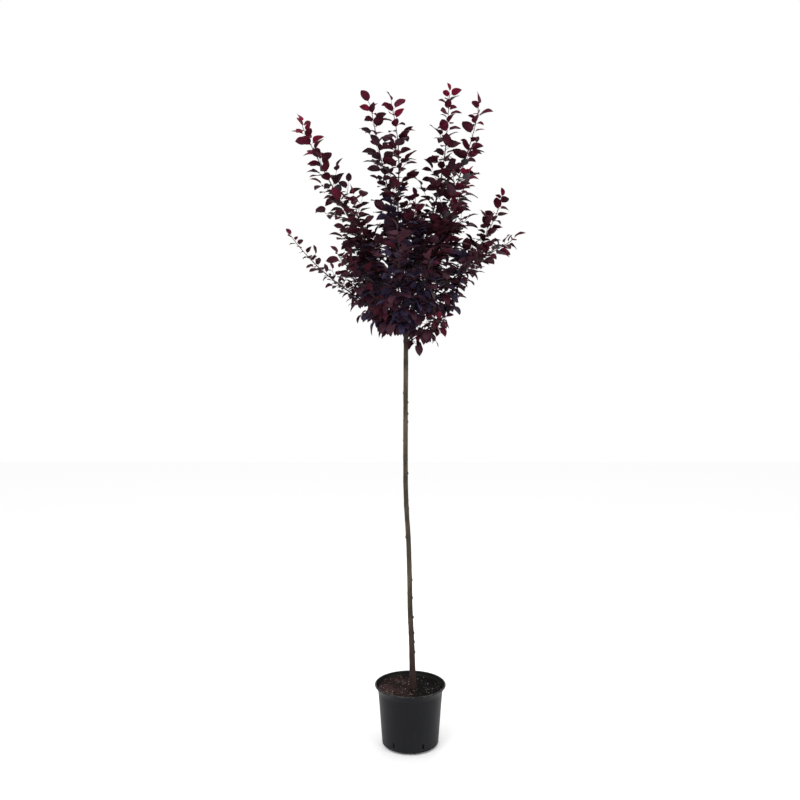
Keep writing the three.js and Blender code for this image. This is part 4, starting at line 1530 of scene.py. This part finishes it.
@dataclass
class Pot:
    """The nursery pot: its wall, flared rim with a rounded lip, floor and drain slots."""

    height: float
    rim: float
    base: float = 0.118
    neck: float = 0.135
    neck_height: float = 0.214
    lip: float = 0.0035
    wall: float = 0.0026
    floor: float = 0.003
    corner: float = 0.022
    sides: int = 160
    flare_curve: float = 1.6
    drains: int = 6
    drain_size: tuple[float, float] = (0.008, 0.020)
    drain_foot: float = 0.023
    drain_turn: float = -35.0
    drain_rings: int = 9
    cut_out: float = 0.020
    cut_in: float = 0.014
    flat_share: float = 0.4
    corner_rings: int = 8
    wall_shares: tuple[float, float] = (0.04, 0.94)
    wall_rings: int = 14
    step: float = 0.0003
    step_drops: tuple[float, float] = (0.004, 0.0034)
    flare_rings: int = 9
    lip_turn: tuple[float, float] = (-60.0, 180.0)
    lip_rings: int = 14
    inner_taper: float = 0.004
    taper_top: float = 0.165
    sharp: float = 40.0

    def arc(
        self, middle: tuple[float, float], radius: float, turn: tuple[float, float], rings: int
    ) -> list[tuple[float, float]]:
        """Lists the points of an arc of the section.

        Args:
            middle: Its centre, as a distance from Z and a height.
            radius: Its radius.
            turn: Where it starts and ends, in degrees.
            rings: How many steps it has.

        Returns:
            The points, the same way round as the turn.
        """
        angles = np.radians(np.linspace(*turn, rings + 1))
        r, z = middle
        return [(r + radius * math.cos(a), z + radius * math.sin(a)) for a in angles]

    def flare(self, wall: float, share: float) -> tuple[float, float]:
        """Finds a point of the flare under the lip.

        Args:
            wall: How far in from its outside.
            share: 0 at its foot and 1 at its top.

        Returns:
            Its distance from Z and its height.
        """
        top = self.height - 2 * self.lip
        out = (self.rim - self.lip - self.neck) * share**self.flare_curve
        return self.neck - wall + out, lerp(self.neck_height, top, share)

    def profile(self) -> list[tuple[float, float]]:
        """Lists the section from the middle of the underside round to the floor inside.

        Returns:
            Each point's distance from Z and its height.
        """
        shares = np.linspace(0.0, 1.0, self.flare_rings)[1:-1]
        foot = (self.base - self.corner, self.corner)
        edge = (self.rim - self.lip, self.height - self.lip)
        outer = [(0.0, 0.0), (self.base * self.flat_share, 0.0)]
        outer += self.arc(foot, self.corner, (-90.0, 0.0), self.corner_rings)
        for share in np.linspace(*self.wall_shares, self.wall_rings):
            outer.append((lerp(self.base, self.neck, share), self.neck_height * share))
        for side, drop in zip((-1, 1), self.step_drops):
            outer.append((self.neck + side * self.step, self.neck_height - drop))
        outer += [self.flare(-self.step, share) for share in shares]
        outer += self.arc(edge, self.lip, self.lip_turn, self.lip_rings)
        inner = [self.flare(self.wall, share) for share in reversed(shares)]
        inner += [self.flare(self.wall, 0.0)]
        inner += [(self.neck - self.wall - self.inner_taper, self.taper_top)]
        inner += [(self.base - self.corner, self.floor), (0.0, self.floor)]
        return outer + inner

    def build(self) -> bpy.types.Object:
        """Turns the section about Z, closes both poles and cuts the drain slots.

        Returns:
            The pot.
        """
        section = self.profile()
        rings = [level_ring(r, z, self.sides) for r, z in section[1:-1]]
        count = len(rings)
        corners = np.vstack((*rings, [[0, 0, section[0][1]], [0, 0, section[-1][1]]]))
        faces = ring_faces(count, self.sides, closed_ends=False)
        for k in range(self.sides):
            after = (k + 1) % self.sides
            faces.append((after, k, count * self.sides))
            last = (count - 1) * self.sides
            faces.append((last + k, last + after, count * self.sides + 1))
        shell = Surface()
        shell.add(corners, faces)
        pot = shell.piece("pot")
        self.cut(pot)
        pot.data.shade_smooth()
        pot.data.set_sharp_from_angle(angle=math.radians(self.sharp))
        return pot

    def cut(self, pot: bpy.types.Object) -> None:
        """Cuts the drain slots through the low wall.

        Args:
            pot: The pot's closed mesh, which is replaced by the cut one.
        """
        cutters = Surface()
        outline = self.slot_outline()
        near = [(x, -self.base - self.cut_out, z) for x, z in outline]
        far = [(x, -self.base + self.cut_in, z) for x, z in outline]
        faces = [tuple(reversed(face)) for face in ring_faces(2, len(outline))]
        for i in range(self.drains):
            turn = math.radians(self.drain_turn + i * 360 / self.drains)
            spin = Matrix.Rotation(turn, 3, "Z")
            cutters.add(np.array([spin @ Vector(c) for c in near + far]), faces)
        tool = cutters.piece("drain_cutter", smooth=False)
        modifier = pot.modifiers.new("drains", "BOOLEAN")
        modifier.operation = "DIFFERENCE"
        modifier.solver = "EXACT"
        modifier.object = tool
        graph = bpy.context.evaluated_depsgraph_get()
        mesh = bpy.data.meshes.new_from_object(pot.evaluated_get(graph), depsgraph=graph)
        pot.modifiers.remove(modifier)
        pot.data = mesh
        bpy.data.objects.remove(tool)

    def slot_outline(self) -> list[tuple[float, float]]:
        """Lists the corners of a slot with a rounded top, seen from outside.

        Returns:
            Each corner's X and its height.
        """
        width, tall = self.drain_size
        r = width / 2
        low, high = self.drain_foot, self.drain_foot + tall - r
        turns = np.linspace(0, math.pi, self.drain_rings)
        return [(-r, low), (r, low), *((r * math.cos(a), high + r * math.sin(a)) for a in turns)]


@dataclass(frozen=True)
class Chips:
    """Bark chips or mineral grains: their chunky forms, how many there are and their finish.

    shape is their length, width and thickness at a scale of one, density is how many lie on a
    square metre, and scales are the smallest and the largest.
    """

    name: str
    finish: ChipFinish
    shape: tuple[float, float, float]
    density: float
    scales: tuple[float, float]
    seed: int
    kinds: int = 4
    seed_step: int = 97
    corners: int = 6
    layers: tuple[tuple[float, float], ...] = ((-0.5, 0.72), (0.0, 1.0), (0.5, 0.66))
    turned: float = 0.3
    widths: tuple[float, float] = (0.75, 1.1)
    raised: float = 0.12

    def forms(self) -> list[bpy.types.Object]:
        """Makes the forms, which are not linked to the scene.

        Returns:
            One object for each kind.
        """
        made = []
        long, wide, thick = self.shape
        for i in range(self.kinds):
            seeded = Seeded(self.seed + self.seed_step * i)
            angles = [
                seeded.about(FULL_TURN * k / self.corners, self.turned) for k in range(self.corners)
            ]
            corners = [
                (
                    long / 2 * math.cos(a) * width * seeded.between(*self.widths),
                    wide / 2 * math.sin(a) * width * seeded.between(*self.widths),
                    thick * seeded.about(height, self.raised),
                )
                for height, width in self.layers
                for a in angles
            ]
            mesh = bpy.data.meshes.new(f"{self.name}_{i}")
            mesh.from_pydata(corners, [], ring_faces(len(self.layers), self.corners))
            mesh.update()
            made.append(bpy.data.objects.new(mesh.name, mesh))
        return made


@dataclass
class Compost:
    """The compost: a solid with a rough, mounded top, and the chips and grit that lie on it.

    crumb_layers is where the coarse and the fine crumbs are read in the noise, and crumb_octaves
    is how fast smaller crumbs get lower, how much smaller each kind is, and how many kinds.
    """

    stem: Stem
    pot: Pot
    flare_share: float = 0.6
    heap: float = 0.006
    dip: float = -0.5
    lumps: float = 0.0024
    pad: float = 0.026
    rings: int = 56
    sides: int = 180
    gap: float = 0.0006
    floor_gap: float = 0.0004
    foot_gap: float = 0.001
    foot_height: float = 0.02
    ring_crowding: float = 0.92
    edge_drop: float = 0.0015
    pad_share: float = 0.6
    swells: tuple[float, float, float] = (0.061, 0.073, 0.11)
    swell_shift: float = 1.3
    crumb_scales: tuple[float, float] = (90.0, 260.0)
    crumb_heights: tuple[float, float] = (0.0022, 0.0016)
    crumb_sink: float = 0.0008
    crumb_layers: tuple[float, float] = (0.2, 0.7)
    crumb_octaves: tuple[float, float, int] = (1.0, 2.0, 4)
    least_level: float = 0.35
    tilt: float = 0.5
    spin: float = 6.283

    @property
    def level(self) -> float:
        """Height of the compost at the wall, part of the way up the pot's flare."""
        return self.pot.flare(0.0, self.flare_share)[1]

    def top(self, x: float, y: float) -> float:
        """Finds the height of the mounded, lumpy top.

        Args:
            x: The point's place across.
            y: The point's place in depth.

        Returns:
            Its height, in metres.
        """
        out = math.hypot(x - self.stem.foot_x, y)
        away = clamp((out - self.pad * self.pad_share) / self.pad, 0.0, 1.0)
        heap = self.heap * clamp(-x / self.pot.neck, self.dip, 1.0)
        mm = 1000.0
        along, aside, askew = self.swells
        swell = math.sin(x * mm * along + self.swell_shift) * math.cos(y * mm * aside)
        swell += math.sin((x + y) * mm * askew) / 2
        coarse, fine = self.crumb_scales
        clod, crumb = self.crumb_heights
        low, high = (Vector((x, y, layer)) for layer in self.crumb_layers)
        crumbs = noise.fractal(low * coarse, *self.crumb_octaves) * clod
        crumbs += abs(noise.noise(high * fine)) * crumb
        return self.level + away * (heap + self.lumps * swell) + crumbs - self.crumb_sink

    def build(self) -> bpy.types.Object:
        """Builds the solid from its flat underside to its rough top.

        Returns:
            The compost.
        """
        clear = self.pot.wall + self.gap
        low = self.pot.floor + self.floor_gap
        section = [(self.pot.base - self.pot.corner - self.foot_gap, low)]
        section.append((self.pot.base - clear - self.foot_gap, self.foot_height))
        section += [self.pot.flare(clear, share * self.flare_share) for share in (0, 0.5)]
        edge = self.pot.flare(clear, self.flare_share)[0]
        rows = [level_ring(r, z, self.sides) for r, z in section]
        for i in range(self.rings):
            row = level_ring(edge * (1 - i / self.rings) ** self.ring_crowding, 0.0, self.sides)
            drop = self.edge_drop if i == 0 else 0.0
            row[:, 2] = [self.top(x, y) - drop for x, y, _ in row]
            rows.append(row)
        shell = Surface()
        shell.add(np.vstack(rows), ring_faces(len(rows), self.sides))
        return shell.piece("compost")

    def scatter(self, chips: Chips, material: bpy.types.Material) -> bpy.types.Object:
        """Scatters chips over the compost's top by Geometry Nodes.

        Args:
            chips: What is scattered.
            material: Their finish's material.

        Returns:
            One piece with everything scattered.
        """
        name = chips.name
        carrier = self.build()
        carrier.name = name
        tree = GeometryTree(name)
        density_in, smallest, largest = map(tree.add_input, ("Density", "Smallest", "Largest"))
        seed_in = tree.add_input("Seed", "Int")
        facing = tree.node("GeometryNodeInputNormal").outputs["Normal"]
        upward = tree.node("ShaderNodeSeparateXYZ", {"Vector": facing}).outputs["Z"]
        level = tree.node(
            "FunctionNodeCompare", {"A": upward, "B": self.least_level}, operation="GREATER_THAN"
        )
        points = tree.node(
            "GeometryNodeDistributePointsOnFaces",
            {
                "Mesh": tree.geometry,
                "Selection": level.outputs["Result"],
                "Density": density_in,
                "Seed": seed_in,
            },
        )
        least = (-self.tilt, -self.tilt, 0.0)
        most = (self.tilt, self.tilt, self.spin)
        placing = {
            "Rotation": tree.random("VECTOR", (least, most), seed_in),
            "Scale": tree.random("VALUE", (smallest, largest), seed_in),
        }
        geometry = tree.placed(points.outputs["Points"], chips.forms(), placing)
        values = dict(zip(("Smallest", "Largest"), chips.scales))
        values.update({"Density": chips.density, "Seed": chips.seed})
        return tree.apply(carrier, geometry, material, values)


@dataclass(frozen=True)
class Bump:
    """What stands out of the bark: where it is, how far out, and half its height and width."""

    height: float
    turn: float
    out: float
    tall: float
    wide: float


@dataclass
class Trunk:
    """The stem as a mesh with its bark's relief, buds, old scars and root flare."""

    stem: Stem
    rings: int = 720
    sides: int = 44
    bark: float = 0.0010
    dome: float = 0.004
    dome_rings: tuple[tuple[float, float], ...] = ((0.45, 0.9), (0.8, 0.66), (1.0, 0.3))
    buds: int = 11
    bud_first: float = 0.150
    bud_pitch: float = 0.122
    bud_size: tuple[float, float, float] = (0.0032, 0.0052, 0.0042)
    knots: int = 26
    knot_seed: int = 4021
    knot_span: tuple[float, float] = (0.06, 1.70)
    knot_outs: tuple[float, float] = (0.0006, 0.0016)
    knot_size: tuple[float, float] = (0.004, 0.005)
    side_knots: tuple[tuple[float, float], ...] = (
        (0.425, 0.0040),
        (0.463, 0.0032),
        (0.530, 0.0058),
        (0.611, 0.0034),
        (0.687, 0.0028),
        (1.140, 0.0032),
        (1.392, 0.0034),
        (1.440, 0.0034),
    )
    side_turn: float = 0.3
    side_size: tuple[float, float] = (0.0045, 0.004)
    scars: tuple[Bump, ...] = (
        Bump(height=1.676, turn=-0.35, out=0.0042, tall=0.012, wide=0.009),
        Bump(height=1.700, turn=2.6, out=0.0024, tall=0.010, wide=0.008),
    )
    ridge_scale: tuple[float, float, float] = (150, 150, 34)
    ridge_height: float = 0.00055
    pore_scale: tuple[float, float, float] = (420, 420, 900)
    pore_height: float = 0.0004
    pore_floor: float = 0.25
    bump_reach: float = 3.0

    def bumps(self) -> list[Bump]:
        """Lists what stands out of the bark.

        Returns:
            The buds, the small knots all round, the side knots and the old scars.
        """
        stem = self.stem
        found = [
            Bump(stem.soil + self.bud_first + i * self.bud_pitch, i * GOLDEN_TURN, *self.bud_size)
            for i in range(self.buds)
        ]
        seeded = Seeded(self.knot_seed)
        above, top = self.knot_span
        for _ in range(self.knots):
            z = lerp(stem.soil + above, top, seeded.next())
            turn = seeded.between(0, FULL_TURN)
            found.append(Bump(z, turn, seeded.between(*self.knot_outs), *self.knot_size))
        for z, out in self.side_knots:
            turn = seeded.between(-self.side_turn, self.side_turn)
            found.append(Bump(z, turn, out, *self.side_size))
        return [*found, *self.scars]

    def build(self) -> bpy.types.Object:
        """Builds the trunk, with a domed head.

        Returns:
            The trunk.
        """
        stem = self.stem
        turns = np.linspace(0.0, FULL_TURN, self.sides, endpoint=False)
        ways = level_ring(1.0, 0.0, self.sides)
        bumps = self.bumps()
        rows = []
        for i in range(self.rings + 1):
            z = lerp(stem.soil, stem.top - self.dome, i / self.rings)
            middle, radius = stem.axis(z), stem.radius(z) + self.bark
            flare = np.exp(-(z - stem.soil) / stem.flare_height)
            radii = radius * (1 + stem.lobe_depth * np.cos(turns * stem.lobes) * flare)
            for bump in bumps:
                if abs(z - bump.height) > self.bump_reach * bump.tall:
                    continue
                apart = (turns - bump.turn + math.pi) % FULL_TURN - math.pi
                shape = ((z - bump.height) / bump.tall) ** 2 + (apart * radius / bump.wide) ** 2
                radii = radii + bump.out * np.exp(-shape)
            rows.append(middle + ways * radii[:, None] + self.relief(middle, ways, radii))
        for share, shrink in self.dome_rings:
            z = stem.top - self.dome + self.dome * share
            radius = stem.radius(stem.top) * shrink
            rows.append(stem.axis(stem.top) * (1, 1, 0) + UP * z + ways * radius)
        shell = Surface()
        shell.add(np.vstack(rows), ring_faces(len(rows), self.sides))
        return shell.piece("trunk")

    def relief(self, middle: Array, ways: Array, radii: Array) -> Array:
        """Finds how the bark's relief moves a ring's corners.

        Args:
            middle: The ring's middle.
            ways: Each corner's direction from it.
            radii: Each corner's distance from it.

        Returns:
            One row for each corner, in metres.
        """
        moved = np.zeros(len(ways))
        for k, (way, radius) in enumerate(zip(ways, radii)):
            place = middle + way * radius
            ridge = noise.noise(Vector(place * self.ridge_scale))
            pore = max(noise.noise(Vector(place * self.pore_scale)), self.pore_floor)
            moved[k] = ridge * self.ridge_height + pore * self.pore_height
        return ways * moved[:, None]


@dataclass
class Wood:
    """Boughs and leading shoots in one mesh, from the trunk to the shoots' ends."""

    stem: Stem
    shoots: list[Shoot]
    sides: int = 14
    step: float = 0.009
    root_drop: float = 0.015
    under_top: float = 0.006
    root_shares: tuple[float, float] = (0.7, 0.6)
    collar: float = 0.16
    collar_length: float = 0.012
    node: float = 0.07
    node_pitch: float = 0.036
    node_length: float = 0.005
    tip: float = 0.003
    tip_share: float = 0.4
    uneven: float = 0.09
    uneven_scale: float = 160.0

    def build(self) -> bpy.types.Object:
        """Builds every bough and leading shoot.

        Returns:
            One piece with all of them.
        """
        shell = Surface()
        for shoot in self.shoots:
            points, radii, ways = self.line(shoot)
            shell.add(self.rings(points, radii, ways), ring_faces(len(points), self.sides))
        return shell.piece("boughs")

    def line(self, shoot: Shoot) -> tuple[list[Array], list[float], list[Array]]:
        """Works out the rings of a shoot, with a collar at its foot and slight nodes.

        Args:
            shoot: The shoot.

        Returns:
            The middle, the radius and the direction of each ring, as three lists.
        """
        stem = self.stem
        root_z = min(shoot.foot - self.root_drop, stem.top - self.under_top)
        of_shoot, of_stem = self.root_shares
        points = [stem.axis(root_z)]
        radii = [min(shoot.radius * of_shoot, stem.radius(root_z) * of_stem)]
        ways = [UP]
        count = round(shoot.length / self.step)
        for i in range(count + 1):
            t, place = i / count, i * self.step
            collar = 1 + self.collar * math.exp(-place / self.collar_length)
            off_node = (place % self.node_pitch - self.node_pitch / 2) / self.node_length
            points.append(shoot.point(stem, t))
            radii.append(shoot.girth(t) * collar * (1 + self.node * math.exp(-(off_node**2))))
            ways.append(shoot.slope(stem, t))
        points.append(points[-1] + ways[-1] * self.tip)
        radii.append(radii[-1] * self.tip_share)
        ways.append(ways[-1])
        return points, radii, ways

    def rings(self, points: list[Array], radii: list[float], ways: list[Array]) -> Array:
        """Places the corners of every ring, with the young bark's slight unevenness.

        Args:
            points: The middle of each ring.
            radii: Its radius.
            ways: The direction that it faces.

        Returns:
            One row for each corner.
        """
        side = np.array((1.0, 0.0, 0.0))
        rows = []
        for point, radius, way in zip(points, radii, ways):
            side = across(way, side)
            for k in range(self.sides):
                turn = FULL_TURN * k / self.sides
                out = side * math.cos(turn) + np.cross(way, side) * math.sin(turn)
                lump = noise.noise(Vector(point + out * radius) * self.uneven_scale)
                rows.append(point + out * radius * (1 + self.uneven * lump))
        return np.array(rows)


@dataclass
class Twigs:
    """Thin wood drawn along lines by Geometry Nodes: side twigs, or leaf stalks."""

    name: str
    sides: int

    def build(self, limbs: Sequence[Limb], material: bpy.types.Material) -> bpy.types.Object:
        """Sweeps a round section along every line.

        Args:
            limbs: The lines and their radii.
            material: What the twigs are made of.

        Returns:
            One piece with every twig.
        """
        corners = np.vstack([limb.points for limb in limbs])
        edges = []
        count = 0
        for limb in limbs:
            edges += [(count + i, count + i + 1) for i in range(len(limb.points) - 1)]
            count += len(limb.points)
        mesh = bpy.data.meshes.new(self.name)
        mesh.from_pydata(corners.tolist(), edges, [])
        thickness = mesh.attributes.new("thickness", "FLOAT", "POINT")
        thickness.data.foreach_set("value", np.concatenate([limb.radii for limb in limbs]))
        carrier = link(self.name, mesh)
        tree = GeometryTree(self.name)
        sides_in = tree.add_input("Sides", "Int")
        lines = tree.node("GeometryNodeMeshToCurve", {"Mesh": tree.geometry})
        section = {"Resolution": sides_in, "Radius": 1.0}
        ring = tree.node("GeometryNodeCurvePrimitiveCircle", section)
        swept = tree.node(
            "GeometryNodeCurveToMesh",
            {
                "Curve": lines.outputs[0],
                "Profile Curve": ring.outputs[0],
                "Fill Caps": True,
                "Scale": tree.named("thickness", "FLOAT"),
            },
        )
        smooth = tree.node("GeometryNodeSetShadeSmooth", {"Geometry": swept.outputs[0]})
        return tree.apply(carrier, smooth.outputs[0], material, {"Sides": self.sides})


@dataclass(frozen=True)
class LeafForm:
    """One shape of leaf, of length one: an oval blade with a pointed tip, folded and arched."""

    breadth: float
    fold: float
    arch: float
    wave: float
    twist: float
    stations: int = 8
    thickness: float = 0.011
    foot_curve: float = 0.60
    tip_curve: float = 0.78
    twist_from: float = 0.3
    waves: float = 9.0
    shortened: float = 0.25
    sharp: float = 75.0

    def half_width(self, s: float) -> float:
        """Works out how wide the blade is.

        Args:
            s: Share of its length.

        Returns:
            Half its width there.
        """
        low, high = self.foot_curve, self.tip_curve
        peak = (low / (low + high)) ** low * (high / (low + high)) ** high
        return self.breadth / 2 * s**low * (1 - s) ** high / peak

    def place(self, s: float, side: float, lift: float) -> tuple[float, float, float]:
        """Returns a point of the blade.

        Args:
            s: Share of its length.
            side: -1 and 1 on its edges, 0 on its midrib.
            lift: Height above the sheet.

        Returns:
            The point, with X along the blade and Z out of its upper side.
        """
        width = self.half_width(s)
        roll = self.twist * (s - self.twist_from)
        out = width * abs(side)
        rise = self.fold * out + self.wave * math.sin(s * self.waves + side) * out
        y = side * width * math.cos(roll)
        z = rise + side * width * math.sin(roll) - self.arch * s * s + lift
        return s * (1 - self.shortened * self.arch * s), y, z

    def mesh(self, name: str) -> bpy.types.Mesh:
        """Builds the closed blade and its own map, X across and Y along.

        Args:
            name: The mesh's name.

        Returns:
            The mesh, facing outwards.
        """
        n = self.stations
        thick = self.thickness / 2
        corners = [self.place(0.0, 0, 0)]
        charts = [(0.5, 0.0)]
        for i in range(1, n - 1):
            s = i / (n - 1)
            half = self.half_width(s) / self.breadth
            for side, lift in ((-1, 0.0), (0, thick), (1, 0.0), (0, -thick)):
                corners.append(self.place(s, side, lift))
                charts.append((0.5 + side * half, s))
        corners.append(self.place(1.0, 0, 0))
        charts.append((0.5, 1.0))
        last = len(corners) - 1
        faces: list[tuple[int, ...]] = []
        for k in range(4):
            after = (k + 1) % 4
            faces.append((0, 1 + after, 1 + k))
            for i in range(n - 3):
                a, b = 1 + 4 * i + k, 1 + 4 * i + after
                faces.append((a, b, b + 4, a + 4))
            faces.append((last, last - 4 + k, last - 4 + after))
        mesh = bpy.data.meshes.new(name)
        mesh.from_pydata(corners, [], faces)
        blade = mesh.uv_layers.new(name="blade")
        for loop in mesh.loops:
            blade.data[loop.index].uv = charts[loop.vertex_index]
        mesh.update()
        if self.volume(corners, faces) < 0:
            mesh.flip_normals()
        mesh.shade_smooth()
        mesh.set_sharp_from_angle(angle=math.radians(self.sharp))
        return mesh

    def volume(
        self, corners: Sequence[tuple[float, float, float]], faces: Sequence[tuple[int, ...]]
    ) -> float:
        """Measures what the faces enclose.

        Args:
            corners: One point for each corner.
            faces: Corner numbers of each face.

        Returns:
            Six times the volume, below 0 if the faces point inwards.
        """
        total = 0.0
        points = np.array(corners)
        for face in faces:
            for i in range(1, len(face) - 1):
                a, b, c = points[face[0]], points[face[i]], points[face[i + 1]]
                total += float(np.dot(a, np.cross(b, c)))
        return total


@dataclass
class Leaves:
    """The leaves, placed by Geometry Nodes: one piece for each tone."""

    leaves: list[Leaf]
    forms: int
    seed: int = 1301
    seed_step: int = 211

    def shapes(self) -> list[bpy.types.Object]:
        """Makes the leaf forms that are placed again and again.

        Returns:
            One object for each form.
        """
        made = []
        for i in range(self.forms):
            seeded = Seeded(self.seed + self.seed_step * i)
            form = LeafForm(
                breadth=seeded.between(0.58, 0.74),
                fold=seeded.between(0.15, 0.5),
                arch=seeded.between(0.14, 0.42),
                wave=seeded.between(0.02, 0.10),
                twist=seeded.between(-0.5, 0.5),
            )
            made.append(bpy.data.objects.new(f"leaf_form_{i}", form.mesh(f"leaf_form_{i}")))
        return made

    def build(self, tone: Tone, material: bpy.types.Material) -> bpy.types.Object:
        """Places the leaves of one tone.

        Args:
            tone: The tone.
            material: What they are made of.

        Returns:
            One piece with all its leaves.
        """
        name = "leaves_" + tone.name.lower()
        chosen = [leaf for leaf in self.leaves if leaf.tone is tone]
        mesh = bpy.data.meshes.new(name)
        mesh.from_pydata([leaf.root.tolist() for leaf in chosen], [], [])
        turns = []
        for leaf in chosen:
            side = np.cross(leaf.normal, leaf.along)
            spin = Matrix(np.stack((leaf.along, side, leaf.normal), axis=1).tolist())
            turns.extend(spin.to_quaternion())
        for key, kind, values in (
            ("turn", "QUATERNION", turns),
            ("size", "FLOAT", [leaf.length for leaf in chosen]),
            ("form", "INT", [leaf.form for leaf in chosen]),
        ):
            mesh.attributes.new(key, kind, "POINT").data.foreach_set("value", values)
        carrier = link(name, mesh)
        tree = GeometryTree(name)
        sizes = {0: tree.named("size", "FLOAT"), 1: tree.add_input("Growth")}
        sized = tree.node("ShaderNodeMath", sizes, operation="MULTIPLY")
        placing = {
            "Instance Index": tree.named("form", "INT"),
            "Rotation": tree.named("turn", "QUATERNION"),
            "Scale": sized.outputs[0],
        }
        geometry = tree.placed(tree.geometry, self.shapes(), placing)
        return tree.apply(carrier, geometry, material, {"Growth": 1.0})


@dataclass(frozen=True)
class Studio:
    """A plain pale floor, soft light and the camera of the reference view."""

    eye: tuple[float, float, float] = (-0.0436, -3.10, 1.45)
    focal: float = 32.92
    sensor: float = 36.0
    aim: tuple[float, float, float] = (0.0, 0.0, 1.6)
    pale: Color = (0.97, 0.97, 0.97)
    half: float = 14.0
    drop: float = 0.0005

    def build(self) -> None:
        """Sets up the floor, the lights, the sky and the camera."""
        self.floor()
        self.light("key", place=(-2.4, -3.2, 4.2), size=3.2, power=95.0)
        self.light("fill", place=(3.2, -2.6, 2.6), size=3.0, power=55.0)
        self.light("back", place=(0.4, 3.4, 3.6), size=2.6, power=40.0)
        world = bpy.data.worlds.new("studio")
        world.use_nodes = True
        sky = world.node_tree.nodes["Background"]
        sky.inputs["Color"].default_value = (1.0, 1.0, 1.0, 1.0)
        sky.inputs["Strength"].default_value = 1.0
        bpy.context.scene.world = world
        bpy.context.scene.view_settings.view_transform = "Standard"
        camera = bpy.data.cameras.new("camera")
        camera.lens = self.focal
        camera.sensor_width = self.sensor
        stand = bpy.data.objects.new("camera", camera)
        stand.location = self.eye
        stand.rotation_euler = (math.radians(90), 0.0, 0.0)
        bpy.context.scene.collection.objects.link(stand)
        bpy.context.scene.camera = stand

    def floor(self) -> None:
        """Lays the floor at the pot's underside."""
        square = np.array([(-1, -1, 0), (1, -1, 0), (1, 1, 0), (-1, 1, 0)]) * self.half
        ground = Surface()
        ground.add(square - UP * self.drop, [(0, 1, 2, 3)])
        piece = ground.piece("floor", smooth=False)
        shader = Shader("floor")
        shader.set("Base Color", self.pale)
        shader.set("Roughness", 1.0)
        shader.set("Specular IOR Level", 0.0)
        piece.data.materials.append(shader.material)

    def light(self, name: str, place: tuple[float, float, float], size: float, power: float) -> None:
        """Hangs one soft square lamp that faces the tree.

        Args:
            name: Its name.
            place: Where it hangs.
            size: Its side.
            power: Its power in watts.
        """
        lamp = bpy.data.lights.new(name, "AREA")
        lamp.size = size
        lamp.energy = power
        made = bpy.data.objects.new(name, lamp)
        made.location = place
        way = Vector(self.aim) - Vector(place)
        made.rotation_euler = way.to_track_quat("-Z", "Y").to_euler()
        bpy.context.scene.collection.objects.link(made)


def nodes_named(first: str) -> list[str]:
    """Lists the CAD nodes whose name starts with a word."""
    return sorted(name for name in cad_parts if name.startswith(first))


def main() -> None:
    """Builds every piece of the plant and its pot, then the studio."""
    logging.basicConfig(level=logging.INFO, format="%(name)s %(message)s")
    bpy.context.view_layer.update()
    low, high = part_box("trunk")
    stem = Stem(soil=low[2], top=high[2])
    shoots = all_shoots()

    pot_low, pot_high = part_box("pot")
    pot = Pot(height=pot_high[2] - pot_low[2], rim=(pot_high[0] - pot_low[0]) / 2)
    dress(pot.build(), PotPlastic(pot).material(), ["pot"])

    compost = Compost(stem, pot)
    dress(compost.build(), CompostFinish().material(), ["soil"])
    bark = ChipFinish(
        "bark_chip", (0.0042, 0.0034, 0.0032), (0.050, 0.027, 0.025), roughness=0.8, plain=0.08
    )
    grit = ChipFinish(
        "grit_grain", (0.07, 0.065, 0.06), (0.42, 0.40, 0.38), roughness=0.75, plain=0.65
    )
    for chips in (
        Chips("bark_chips", bark, (1.0, 0.5, 0.22), 22000.0, scales=(0.003, 0.0095), seed=71),
        Chips("grit", grit, (1.0, 0.85, 0.7), 2400.0, scales=(0.0018, 0.0052), seed=33),
    ):
        material = chips.finish.material()
        dress(compost.scatter(chips, material), material)

    dress(Trunk(stem).build(), StemBark().material(), ["trunk"])
    wood = YoungBark("bough_bark", (0.013, 0.009, 0.0085), (0.042, 0.028, 0.024), roughness=0.62)
    dress(Wood(stem, shoots).build(), wood.material(), nodes_named("bough_"))

    growth = Growth(stem, shoots)
    growth.run()
    foliage = nodes_named("foliage_")
    twig = YoungBark("twig_bark", (0.03, 0.011, 0.013), (0.075, 0.024, 0.026), roughness=0.5)
    stalk = YoungBark("leaf_stalk", (0.07, 0.01, 0.016), (0.14, 0.02, 0.03), roughness=0.45)
    for name, sides, limbs, bark in (
        ("twigs", 6, growth.twigs, twig.material()),
        ("leaf_stalks", 4, growth.stalks, stalk.material()),
    ):
        dress(Twigs(name, sides).build(limbs, bark), bark, foliage)
    leaves = Leaves(growth.leaves, growth.leaf.forms)
    for tone in Tone:
        finish = tone.value.material()
        dress(leaves.build(tone, finish), finish, foliage)

    Studio().build()


if __name__ == "__main__":
    main()
